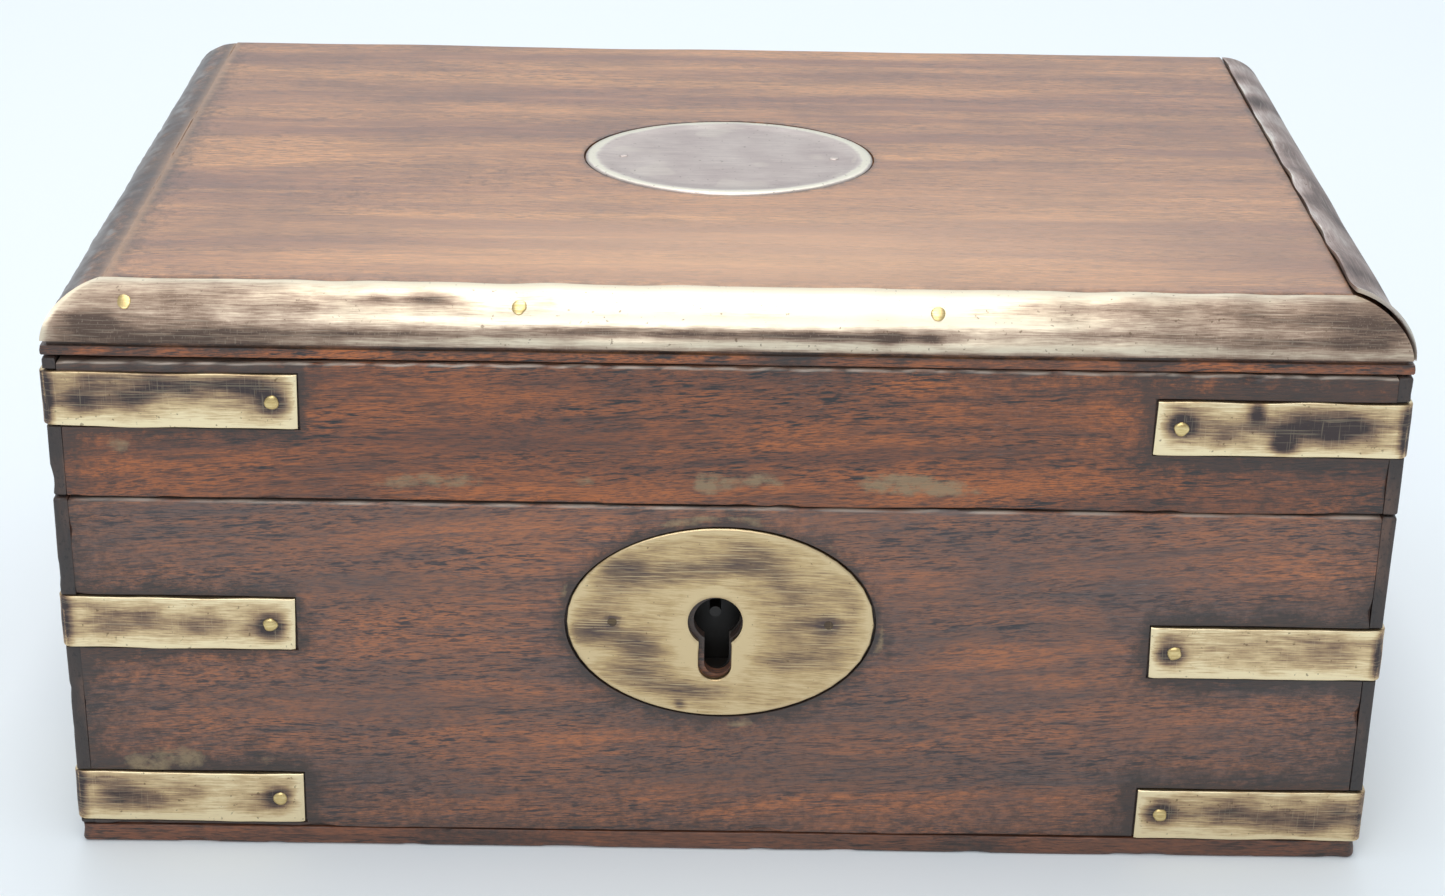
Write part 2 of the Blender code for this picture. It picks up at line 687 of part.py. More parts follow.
LOCK_X = KEYHOLE_CENTRE[0]
LOCK_LEFT, LOCK_RIGHT = LOCK_X - LOCK_WIDTH / 2, LOCK_X + LOCK_WIDTH / 2
LOCK_UNDER = BASE_HEIGHT - LOCK_HEIGHT
LOCK_FRONT = INNER_FRONT - LOCK_DEPTH
CASE_BACK = INNER_FRONT - LOCK_PLATE - GAP
MECHANISM_Y = (LOCK_FRONT + CASE_WALL + INNER_FRONT - LOCK_PLATE) / 2  # middle of the bolt and staples
STAPLE_FOOT = LID_RIM - STAPLE[2]
BAR_TOP = STAPLE_FOOT - BOLT_BAR[1]
BAR_UNDER = BAR_TOP - BOLT_BAR[0]
BOLT_LEFT = LOCK_LEFT + CASE_INSET + CASE_WALL + GAP  # unlocked
STAPLE_REACH = LOCK_X - (BOLT_LEFT + RISER_WIDTH + NOSE[0] + STAPLE_CLEARANCE + STAPLE[0] / 2)
STAPLE_SPOTS = (LOCK_X - STAPLE_REACH, LOCK_X + STAPLE_REACH)
STUMP_SPOTS = [spot - math.copysign(STUMP_RADIUS, spot) for spot in STAPLE_SPOTS]


def lock_pocket():
    """The mortise in the front board, open at the rim and on the inside."""
    low = (LOCK_LEFT - GAP, LOCK_FRONT - GAP, LOCK_UNDER - GAP)
    return block(low, (LOCK_RIGHT + GAP, INNER_FRONT + FAR, BASE_HEIGHT + FAR))


def lock_plate_shape():
    """Back plate and the top plate that lies in the rim, with the staples' slots and two stumps."""
    back = block((LOCK_LEFT, INNER_FRONT - LOCK_PLATE, LOCK_UNDER), (LOCK_RIGHT, INNER_FRONT, BASE_HEIGHT))
    top = block(
        (LOCK_LEFT, LOCK_FRONT, BASE_HEIGHT - LOCK_PLATE),
        (LOCK_RIGHT, INNER_FRONT - LOCK_PLATE / 2, BASE_HEIGHT),
    )
    stump_z = BAR_UNDER + BOLT_BAR[0] / 2
    tip = MECHANISM_Y - BOLT_THICKNESS / 2 - GAP
    stumps = [
        rod_along_y(tip, INNER_FRONT - LOCK_PLATE / 2, (x, stump_z), STUMP_RADIUS, 16)
        for x in STUMP_SPOTS
    ]
    slots = [
        block(
            (x - STAPLE[0] / 2 - GAP, MECHANISM_Y - STAPLE[1] / 2 - GAP, BASE_HEIGHT - FAR / 4),
            (x + STAPLE[0] / 2 + GAP, MECHANISM_Y + STAPLE[1] / 2 + GAP, BASE_HEIGHT + FAR / 4),
        )
        for x in STAPLE_SPOTS
    ]
    return cut(join(back, top, *stumps), together(*slots))


def lock_case_shape():
    """A shallow tray in front of the plate, open towards it, with the keyhole in its face."""
    x0, x1 = LOCK_LEFT + CASE_INSET, LOCK_RIGHT - CASE_INSET
    z0, z1 = LOCK_UNDER + CASE_INSET / 2, BASE_HEIGHT - LOCK_PLATE - GAP
    tray = block((x0, LOCK_FRONT, z0), (x1, CASE_BACK, z1))
    hollow = block(
        (x0 + CASE_WALL, LOCK_FRONT + CASE_WALL, z0 + CASE_WALL), (x1 - CASE_WALL, CASE_BACK + FAR, z1 + FAR)
    )
    return cut(tray, hollow, keyhole_cutter(KEYHOLE_SHRINK, LOCK_FRONT - FAR, LOCK_FRONT + 2 * CASE_WALL))


def bolt_outline():
    """(x, z) round the bolt: a bar with two risers, each with a nose that points to +X."""
    bar_right = STAPLE_SPOTS[1] + STAPLE[0] / 2
    outline = [(bar_right, BAR_TOP)]
    eye_middle = STAPLE_FOOT + STAPLE[2] * 0.36
    for staple in reversed(STAPLE_SPOTS):
        tip = staple - STAPLE[0] / 2 - STAPLE_CLEARANCE
        riser_right = tip - NOSE[0]
        low, high = eye_middle - NOSE[1] / 2, eye_middle + NOSE[1] / 2
        outline += [(riser_right, BAR_TOP), (riser_right, low), (tip, low), (tip, high)]
        outline += [(riser_right - RISER_WIDTH, high), (riser_right - RISER_WIDTH, BAR_TOP)]
    outline[-1] = (outline[-1][0], BAR_UNDER)
    talon_left, talon_right = LOCK_X - TALON[0] / 2, LOCK_X + TALON[0] / 2
    notch_top = BAR_UNDER + TALON[1]
    outline += [(talon_left, BAR_UNDER), (talon_left, notch_top), (talon_right, notch_top)]
    return outline + [(talon_right, BAR_UNDER), (bar_right, BAR_UNDER)]


def bolt_shape():
    front = MECHANISM_Y - BOLT_THICKNESS / 2
    body = prism(facing_front(bolt_outline(), front), Vector((0, BOLT_THICKNESS, 0)))
    slots = []
    z = BAR_UNDER + BOLT_BAR[0] / 2
    half = STUMP_RADIUS + GAP
    for x in STUMP_SPOTS:
        outline = arc((x, z), (half, half), -90, 90, 8) + arc((x - BOLT_TRAVEL, z), (half, half), 90, 270, 8)
        slots.append(prism(facing_front(outline, front - FAR / 4), Vector((0, FAR / 2, 0))))
    return cut(body, together(*slots))


def spring_shape():
    """A bowed leaf that sits on the bar, between a staple and a riser, and bears on the top plate."""
    left = STAPLE_SPOTS[0] + STAPLE[0] / 2 + STAPLE_CLEARANCE
    right = STAPLE_SPOTS[1] - STAPLE[0] / 2 - STAPLE_CLEARANCE - NOSE[0] - RISER_WIDTH - GAP
    middle = ((left + right) / 2, BAR_TOP + GAP)
    radii = ((right - left) / 2, BASE_HEIGHT - LOCK_PLATE - GAP - middle[1])
    outer = arc(middle, radii, 0, 180, 12)
    inner = arc(middle, [radius - SPRING_THICKNESS for radius in radii], 180, 0, 12)
    front = MECHANISM_Y - BOLT_THICKNESS / 2
    return prism(facing_front(outer + inner, front), Vector((0, BOLT_THICKNESS, 0)))


def link_plate_shape():
    """The plate under the lid's front rail, with two staples that drop into the lock."""
    length, width, thickness = LINK_PLATE
    y0 = MECHANISM_Y - width / 2
    plate = block((LOCK_X - length / 2, y0, LID_RIM), (LOCK_X + length / 2, y0 + width, LID_RIM + thickness))
    staples, eyes = [], []
    for x in STAPLE_SPOTS:
        y = MECHANISM_Y
        staples.append(
            block(
                (x - STAPLE[0] / 2, y - STAPLE[1] / 2, STAPLE_FOOT),
                (x + STAPLE[0] / 2, y + STAPLE[1] / 2, LID_RIM + thickness / 2),
            )
        )
        eyes.append(
            block(
                (x - FAR / 4, y - STAPLE[1] / 2 + STAPLE_WIRE, STAPLE_FOOT + STAPLE_WIRE),
                (x + FAR / 4, y + STAPLE[1] / 2 - STAPLE_WIRE, STAPLE_FOOT + STAPLE[2] * 0.64),
            )
        )
    return cut(join(plate, *staples), together(*eyes))


def link_plate_pocket():
    length, width, thickness = LINK_PLATE
    half_x, half_y = length / 2 + GAP, width / 2 + GAP
    return block(
        (LOCK_X - half_x, MECHANISM_Y - half_y, LID_RIM - FAR),
        (LOCK_X + half_x, MECHANISM_Y + half_y, LID_RIM + thickness + GAP),
    )


def add_lock(iron, brass, lid, bolt):
    node("lock_plate", lock_plate_shape(), brass, (LOCK_X, INNER_FRONT, BASE_HEIGHT))
    node("lock_case", lock_case_shape(), iron, (LOCK_X, LOCK_FRONT, BASE_HEIGHT))
    tip = LOCK_FRONT + CASE_WALL / 2
    seat = INNER_FRONT - LOCK_PLATE - GAP
    node("lock_key_pin", rod_along_y(tip, seat, KEYHOLE_CENTRE, KEY_PIN_RADIUS, 16), iron, (LOCK_X, seat, 0))
    node("lock_bolt", bolt_shape(), iron, bolt.location, bolt)
    node("lock_spring", spring_shape(), iron, bolt.location, bolt)
    node("link_plate", link_plate_shape(), brass, (LOCK_X, MECHANISM_Y, LID_RIM), lid)


# ---------------------------------------------------------------- inside


INNER_LID_TOP = BASE_HEIGHT - INNER_LID_DROP
INNER_LID_UNDER = INNER_LID_TOP - INNER_LID_THICKNESS
SHELF = INNER_LID_UNDER - GAP  # what the inner lids lie on
INSIDE_BACK = BACK - WALL


def housing_front():
    """Groove for the partition in the front board, below the lock."""
    half = PARTITION_THICKNESS / 2 + GAP
    low = (-half, INNER_FRONT - HOUSING_DEPTH - GAP, CARCASS_UNDER - FAR)
    return block(low, (half, INNER_FRONT + FAR, LOCK_UNDER - WALL / 2))


def housing_back():
    half = PARTITION_THICKNESS / 2 + GAP
    low = (-half, INSIDE_BACK - FAR, CARCASS_UNDER - FAR)
    return block(low, (half, INSIDE_BACK + HOUSING_DEPTH + GAP, INNER_LID_TOP + GAP))


def partition_shape():
    """The wall between the wells. Its ends sit in the housings, and its top is rebated for the inner lids."""
    front, back = INNER_FRONT + GAP, INSIDE_BACK + HOUSING_DEPTH
    step = LOCK_UNDER - WALL / 2 - GAP
    outline = [
        (front - HOUSING_DEPTH - GAP, CARCASS_UNDER),
        (back, CARCASS_UNDER),
        (back, INNER_LID_TOP),
        (front, INNER_LID_TOP),
        (front, step),
        (front - HOUSING_DEPTH - GAP, step),
    ]
    half, tongue = PARTITION_THICKNESS / 2, PARTITION_TONGUE / 2
    body = prism(facing_side(outline, -half), Vector((PARTITION_THICKNESS, 0, 0)))
    rebates = [
        block((x0, FRONT - FAR, SHELF), (x1, BACK + FAR, INNER_LID_TOP + FAR))
        for x0, x1 in ((-FAR, -tongue), (tongue, FAR))
    ]
    return cut(body, together(*rebates))


def inner_lid_shape(side):
    """A flat lid with a small bevel round its top, and a hole for its knob's spigot. Side is -1 or 1."""
    wall_edge = side * (WIDTH / 2 - WALL - INNER_LID_CLEARANCE)
    middle_edge = side * (PARTITION_TONGUE / 2 + INNER_LID_CLEARANCE)
    half_depth = DEPTH / 2 - WALL - INNER_LID_CLEARANCE
    x0, x1 = sorted((wall_edge, middle_edge))
    slab = block((x0, -half_depth, INNER_LID_UNDER), (x1, half_depth, INNER_LID_TOP))
    rim = [edge for edge in slab.edges if all(v.co.z > INNER_LID_TOP - GAP for v in edge.verts)]
    bmesh.ops.bevel(slab, geom=rim, offset=INNER_LID_THICKNESS / 4, segments=1, affect="EDGES")
    middle = (x0 + x1) / 2
    hole = rod_along_z(INNER_LID_UNDER - FAR, INNER_LID_TOP + FAR, (middle, 0), KNOB_SPIGOT_RADIUS + GAP, 16)
    return cut(slab, hole), middle


def knob_shape(x):
    """A turned knob: a profile spun about Z, spigot down."""
    foot = INNER_LID_TOP + GAP
    ball = KNOB_RADIUS * 0.85
    ball_centre = foot + KNOB_HEIGHT - ball
    neck = KNOB_RADIUS * 0.42
    start = -math.degrees(math.acos(neck / KNOB_RADIUS))
    profile = [(0, INNER_LID_UNDER + GAP), (KNOB_SPIGOT_RADIUS, INNER_LID_UNDER + GAP)]
    profile += [(KNOB_SPIGOT_RADIUS, foot), (KNOB_RADIUS * 0.9, foot), (KNOB_RADIUS * 0.9, foot + KNOB_HEIGHT * 0.09)]
    profile += [(neck, foot + KNOB_HEIGHT * 0.2)]
    profile += arc((0, ball_centre), (KNOB_RADIUS, ball), start, 90, 6)[:-1]
    profile += [(0, foot + KNOB_HEIGHT)]
    shape = bmesh.new()
    points = [shape.verts.new((x + radius, 0, z)) for radius, z in profile]
    edges = [shape.edges.new(pair) for pair in zip(points, points[1:])]
    bmesh.ops.spin(
        shape, geom=points + edges, cent=(x, 0, 0), axis=(0, 0, 1), angle=math.tau, steps=KNOB_SIDES
    )
    bmesh.ops.remove_doubles(shape, verts=shape.verts, dist=1e-6)
    return shape


def slip_shape(side):
    """The strip on a side board that carries the outer edge of an inner lid."""
    wall = side * (WIDTH / 2 - WALL - GAP)
    x0, x1 = sorted((wall, wall - side * SLIP_SIZE[0]))
    half_depth = DEPTH / 2 - WALL - GAP
    return block((x0, -half_depth, SHELF - SLIP_SIZE[1]), (x1, half_depth, SHELF))


def add_inside(wood, brass):
    node("partition", partition_shape(), wood)
    for name, side in (("left", -1), ("right", 1)):
        node(f"inner_lid_slip_{name}", slip_shape(side), wood)
        shape, middle = inner_lid_shape(side)
        lift = group_at(f"inner_lid_{name}_lift", (middle, 0, INNER_LID_TOP))
        node(f"inner_lid_{name}", shape, wood, lift.location, lift)
        node(f"inner_lid_knob_{name}", knob_shape(middle), brass, lift.location, lift)


# ---------------------------------------------------------------- the whole caddy


def build():
    clear_scene()
    wood = finish("oiled_hardwood", (0.17, 0.052, 0.022), 0.45)
    top_wood = finish("oiled_hardwood_top", (0.27, 0.098, 0.035), 0.4)
    inner_wood = finish("plain_hardwood", (0.24, 0.11, 0.05), 0.6)
    brass = finish("worn_brass", (0.55, 0.40, 0.17), 0.38, 1.0)
    dark_brass = finish("tarnished_brass", (0.13, 0.10, 0.08), 0.5, 1.0)
    iron = finish("dark_iron", (0.09, 0.085, 0.08), 0.55, 1.0)
    lid = group_at("lid_pivot", HINGE_AXIS)
    bolt = group_at("lock_bolt_slide", (LOCK_X, MECHANISM_Y, BAR_UNDER))
    add_base_boards(wood)
    add_lid_boards(wood, lid)
    add_top_board(top_wood, lid)
    add_edge_strips(brass, lid)
    bpy.data.objects["right_edge_strip"].data.materials[0] = dark_brass
    add_oval_plates(brass, lid)
    add_straps(brass, lid)
    add_pins(brass, lid)
    add_hinges(brass, lid)
    add_lock(iron, brass, lid, bolt)
    add_inside(inner_wood, brass)


build()
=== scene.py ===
"""The looks of a worn, brass-bound tea caddy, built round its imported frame.

Metres, +Z up. X runs along the front, the front faces -Y, and the underside lies on Z = 0.
Each board, strap, plate and pin is a surface worked out on a grid, and stands for the frame's plainer piece.
"""

import math

import bmesh
import bpy
import numpy as np
from mathutils import Matrix, Vector


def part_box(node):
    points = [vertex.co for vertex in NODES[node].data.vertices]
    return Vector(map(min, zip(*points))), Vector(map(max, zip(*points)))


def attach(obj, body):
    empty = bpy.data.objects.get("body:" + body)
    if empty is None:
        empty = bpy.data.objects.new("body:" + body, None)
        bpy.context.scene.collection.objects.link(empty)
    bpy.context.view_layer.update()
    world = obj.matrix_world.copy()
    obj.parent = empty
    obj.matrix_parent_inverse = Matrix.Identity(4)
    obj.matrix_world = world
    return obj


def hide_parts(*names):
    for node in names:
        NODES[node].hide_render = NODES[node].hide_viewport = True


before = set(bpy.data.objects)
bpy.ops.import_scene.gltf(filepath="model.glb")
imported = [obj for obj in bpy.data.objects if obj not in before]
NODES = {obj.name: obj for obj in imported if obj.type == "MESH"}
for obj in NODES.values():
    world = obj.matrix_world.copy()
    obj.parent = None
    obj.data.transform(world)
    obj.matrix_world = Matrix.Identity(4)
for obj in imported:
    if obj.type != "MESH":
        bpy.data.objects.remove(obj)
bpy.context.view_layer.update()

MM = 0.001
STRAPS = [name for name in NODES if "_strap_" in name and "_pin_" not in name and "edge" not in name]

# the box itself, from the frame
WIDTH = 2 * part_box("bottom_board")[1].x
DEPTH = 2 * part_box("bottom_board")[1].y
LEFT, RIGHT, FRONT, BACK = -WIDTH / 2, WIDTH / 2, -DEPTH / 2, DEPTH / 2
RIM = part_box("base_front_board")[1].z
LID_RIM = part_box("lid_front_rail")[0].z
LID_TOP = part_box("lid_top_board")[1].z
LID_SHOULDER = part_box("lid_front_rail")[1].z

ROUND = 8 * MM  # radius of the lid's round edge, over its brass strip
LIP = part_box("lid_top_board")[0].z + 1.6 * MM  # where the round begins, over the plain lip
STRIP = 0.6 * MM  # thickness of the edge strips
SHEET = 0.9 * MM  # thickness of the straps
PROUD = 0.5 * MM  # how far the straps stand out of the boards
PIN_INSET = 3.8 * MM  # from the end of a strap to its pin
GAP = 0.3 * MM
HINGE_LINE = 64.5 * MM
SIDE_LIP = 2.2 * MM  # thickness of the side boards' lips over the front board's ends

KEYHOLE = (-1.3 * MM, RIM - 19.7 * MM)
KEY_ROUND, KEY_SLOT, KEY_DROP = 4.3 * MM, 2.55 * MM, 10.1 * MM

FINE, COARSE = 1.2 * MM, 9 * MM  # spacing of the points on faces that show and on those that don't
FAR = 5 * MM  # how far a cutter reaches past what it cuts

# ---------------------------------------------------------------- colours and nodes


def paint(code):
    """Linear colour of an sRGB hex code."""
    channels = np.array([int(code[i : i + 2], 16) for i in (1, 3, 5)]) / 255
    linear = np.where(channels <= 0.04045, channels / 12.92, ((channels + 0.055) / 1.055) ** 2.4)
    return (*linear.tolist(), 1.0)


def add(tree, kind, feeds=None, **settings):
    """One node, and its first output that is in use.

    feeds go to its inputs by name or number: an output is linked, and a value set. The factor and the two
    colours of a Mix node are its inputs 0, 6 and 7, and its plain numbers are 0, 2 and 3.
    """
    made = tree.nodes.new("ShaderNode" + kind)
    stops = settings.pop("stops", ())
    for name, value in settings.items():
        setattr(made, name, value)
    for i, (place, colour) in enumerate(stops):
        stop = made.color_ramp.elements[i] if i < 2 else made.color_ramp.elements.new(place)
        stop.position = place
        stop.color = colour if isinstance(colour, tuple) else (colour, colour, colour, 1)
    for name, feed in (feeds or {}).items():
        if isinstance(feed, bpy.types.NodeSocket):
            tree.links.new(feed, made.inputs[name])
        else:
            made.inputs[name].default_value = feed
    return next((output for output in made.outputs if output.enabled), made)


def new_material(name):
    """An empty material with its shader, and the object's own coordinates."""
    material = bpy.data.materials.new(name)
    material.use_nodes = True
    tree = material.node_tree
    tree.nodes.clear()
    surface = add(tree, "BsdfPrincipled")
    add(tree, "OutputMaterial", {"Surface": surface})
    return material, tree, surface.node, add(tree, "TexCoord").node.outputs["Object"]


def along(axis, length, width):
    """Scale of a pattern whose cells are `length` millimetres along one axis and `width` across it."""
    return tuple(1000 / (length if letter == axis else width) for letter in "XYZ")


# ---------------------------------------------------------------- materials


def rosewood(
    name, grain, tones, gloss, seed,
    slope=0.0, coat=0.3, streak=0.7, open_pores=0.95, bare="#b3a596", cake="#8f7d61",
):
    """Open-pored red hardwood, sawn along the grain, oiled and polished long ago and handled ever since.

    It gives the eye a red-brown ground in soft bands, dark pores 5 to 9 mm long and half a millimetre wide,
    black dirt in every corner, darkened further there, in the seam and in the keyhole by painted shade, and a
    thin hard polish that hazes where it is seen at a low angle.
    grain is the axis that the pores follow, and slope how far they lean from it. tones are light, middle,
    dark and pore colours, bare is the wood with its polish rubbed away, and cake the dirt dried on to it.
    """
    material, tree, shader, place = new_material(name)
    shift = (seed, seed * 1.7, seed * 0.6)
    lean = (0.0, slope, slope) if grain == "X" else (slope, 0.0, slope)
    leaned = add(tree, "Mapping", {0: place, "Rotation": lean})
    drift = add(tree, "Mapping", {0: place, "Location": shift, "Scale": along(grain, 70, 24)})
    drift = add(tree, "TexNoise", {"Vector": drift, "Scale": 1.0, "Detail": 2.0}).node.outputs["Color"]
    drift = add(tree, "VectorMath", {0: drift, 1: (0.5, 0.5, 0.5)}, operation="SUBTRACT")
    wander = tuple(0.0 if letter == grain else 3.5 * MM for letter in "XYZ")
    drift = add(tree, "VectorMath", {0: drift, 1: wander}, operation="MULTIPLY")
    bent = add(tree, "VectorMath", {0: leaned, 1: drift}, operation="ADD")
    # each figure of the wood: what it lies along, its length and width in millimetres, detail, roughness
    figures = {
        "bands": (bent, 120, 6, 3, 0.55),
        "streaks": (bent, 34, 1.2, 3, 0.6),
        "clouds": (place, 26, 14, 3, 0.55),
        "fibres": (bent, 3.2, 0.15, 3, 0.65),
        "dust": (bent, 2.0, 0.3, 4, 0.75),
        "rings": (bent, 44, 5, 2, 0.5),
        "long_pores": (bent, 5.0, 0.46, 3, 0.6),
        "short_pores": (bent, 2.2, 0.2, 2, 0.5),
    }
    for figure, (lie, length, width, detail, roughness) in figures.items():
        stretched = add(tree, "Mapping", {0: lie, "Location": shift, "Scale": along(grain, length, width)})
        feeds = {"Vector": stretched, "Scale": 1.0, "Detail": detail, "Roughness": roughness}
        figures[figure] = add(tree, "TexNoise", feeds)

    light, middle, dark, pore = (paint(tone) for tone in tones)
    streaky = add(tree, "ValToRGB", {0: figures["streaks"]}, stops=((0.46, 0.0), (0.78, streak)))
    cloudy = add(tree, "ValToRGB", {0: figures["clouds"]}, stops=((0.45, 0.0), (0.75, 0.6)))
    fibrous = add(tree, "ValToRGB", {0: figures["fibres"]}, stops=((0.40, 0.7), (0.54, 0.0)))
    dusty = add(tree, "ValToRGB", {0: figures["dust"]}, stops=((0.56, 0.0), (0.72, 0.55)))
    dusty = add(tree, "Math", {0: dusty, 1: cloudy}, operation="MULTIPLY")
    # the pores gather in patches, as the tree's rings do
    rings = add(tree, "ValToRGB", {0: figures["rings"]}, stops=((0.34, 0.25), (0.58, 1.0)))
    opened = add(tree, "ValToRGB", {0: figures["long_pores"]}, stops=((0.545, 0.0), (0.635, open_pores)))
    pricked = add(tree, "ValToRGB", {0: figures["short_pores"]}, stops=((0.56, 0.0), (0.64, 0.75)))
    pores = add(tree, "Math", {0: opened, 1: pricked}, operation="MAXIMUM")
    pores = add(tree, "Math", {0: pores, 1: rings}, operation="MULTIPLY")

    flecks = add(tree, "Mapping", {0: place, "Scale": (520, 520, 700)})
    flecks = add(tree, "TexNoise", {"Vector": flecks, "Scale": 1.0, "Detail": 6.0, "Roughness": 0.75})
    # grime_and_shade: dirt, and painted shade in corners, in the seam and in the keyhole
    grime_and_shade = add(tree, "Attribute", attribute_name="grime_and_shade").node.outputs["Fac"]
    grime_and_shade = add(tree, "Math", {0: flecks, 1: 1.8, 2: grime_and_shade}, operation="MULTIPLY_ADD")
    grime_and_shade = add(tree, "MapRange", {0: grime_and_shade, 1: 1.15, 2: 1.75, 3: 0.0, 4: 0.84})
    rubbed = add(tree, "Attribute", attribute_name="rubbed").node.outputs["Fac"]
    flakes = add(tree, "Mapping", {0: place, "Scale": (300, 300, 420), "Location": shift})
    flakes = add(tree, "TexNoise", {"Vector": flakes, "Scale": 1.0, "Detail": 6.0, "Roughness": 0.72})
    crust = add(tree, "Attribute", attribute_name="crust").node.outputs["Fac"]
    crust = add(tree, "Math", {0: crust, 1: flakes}, operation="MULTIPLY")
    crust = add(tree, "ValToRGB", {0: crust}, stops=((0.32, 0.0), (0.50, 0.8)))

    colour = add(tree, "ValToRGB", {0: figures["bands"]}, stops=((0.36, middle), (0.64, light)))
    layers = (
        (streaky, dark), (cloudy, dark), (fibrous, dark), (dusty, paint("#8e8b8b")), (pores, pore),
        (grime_and_shade, paint("#2f2a28")), (rubbed, paint(bare)), (crust, paint(cake)),
    )
    for cover, tone in layers:
        colour = add(tree, "Mix", {0: cover, 6: colour, 7: tone}, data_type="RGBA")
    tree.links.new(colour, shader.inputs["Base Color"])

    rough = add(tree, "MapRange", {0: figures["clouds"], 1: 0.3, 2: 0.8, 3: gloss, 4: gloss + 0.12})
    rough = add(tree, "Mix", {0: grime_and_shade, 2: rough, 3: 0.62})
    rough = add(tree, "Mix", {0: crust, 2: rough, 3: 0.9})
    tree.links.new(rough, shader.inputs["Roughness"])
    shader.inputs["Coat Weight"].default_value = coat
    shader.inputs["Coat Roughness"].default_value = 0.28

    height = add(tree, "Math", {0: pores, 1: -0.6, 2: crust}, operation="MULTIPLY_ADD")
    height = add(tree, "Math", {0: figures["streaks"], 1: 0.4, 2: height}, operation="MULTIPLY_ADD")
    lumps = add(tree, "Math", {0: flecks, 1: grime_and_shade}, operation="MULTIPLY")
    height = add(tree, "Math", {0: lumps, 1: 0.7, 2: height}, operation="MULTIPLY_ADD")
    bump = add(tree, "Bump", {"Strength": 0.7, "Distance": 0.12 * MM, "Height": height})
    tree.links.new(bump, shader.inputs["Normal"])
    return material


def end_grain(name):
    """The sawn ends of the side boards: pores seen end on as dark specks, and years of grease."""
    material, tree, shader, place = new_material(name)
    specks = add(tree, "Mapping", {0: place, "Scale": (2000, 2000, 1400)})
    specks = add(tree, "TexNoise", {"Vector": specks, "Scale": 1.0, "Detail": 3.0, "Roughness": 0.6})
    clouds = add(tree, "Mapping", {0: place, "Scale": (330, 330, 110)})
    clouds = add(tree, "TexNoise", {"Vector": clouds, "Scale": 1.0, "Detail": 4.0, "Roughness": 0.6})
    colour = add(tree, "ValToRGB", {0: clouds}, stops=((0.35, paint("#6b4f40")), (0.68, paint("#332b29"))))
    pits = add(tree, "ValToRGB", {0: specks}, stops=((0.56, 0.0), (0.66, 0.8)))
    # grime_and_shade: dirt, and painted shade towards the corners
    grime_and_shade = add(tree, "Attribute", attribute_name="grime_and_shade").node.outputs["Fac"]
    grime_and_shade = add(tree, "Math", {0: clouds, 1: 1.2, 2: grime_and_shade}, operation="MULTIPLY_ADD")
    grime_and_shade = add(tree, "MapRange", {0: grime_and_shade, 1: 0.75, 2: 1.4, 3: 0.0, 4: 0.85})
    colour = add(tree, "Mix", {0: grime_and_shade, 6: colour, 7: paint("#2c2827")}, data_type="RGBA")
    colour = add(tree, "Mix", {0: pits, 6: colour, 7: paint("#1d191a")}, data_type="RGBA")
    tree.links.new(colour, shader.inputs["Base Color"])
    shader.inputs["Roughness"].default_value = 0.55
    shader.inputs["Coat Weight"].default_value = 0.2
    shader.inputs["Coat Roughness"].default_value = 0.35
    bump = add(tree, "Bump", {"Strength": 0.6, "Distance": 0.15 * MM, "Height": specks})
    tree.links.new(bump, shader.inputs["Normal"])
    return material


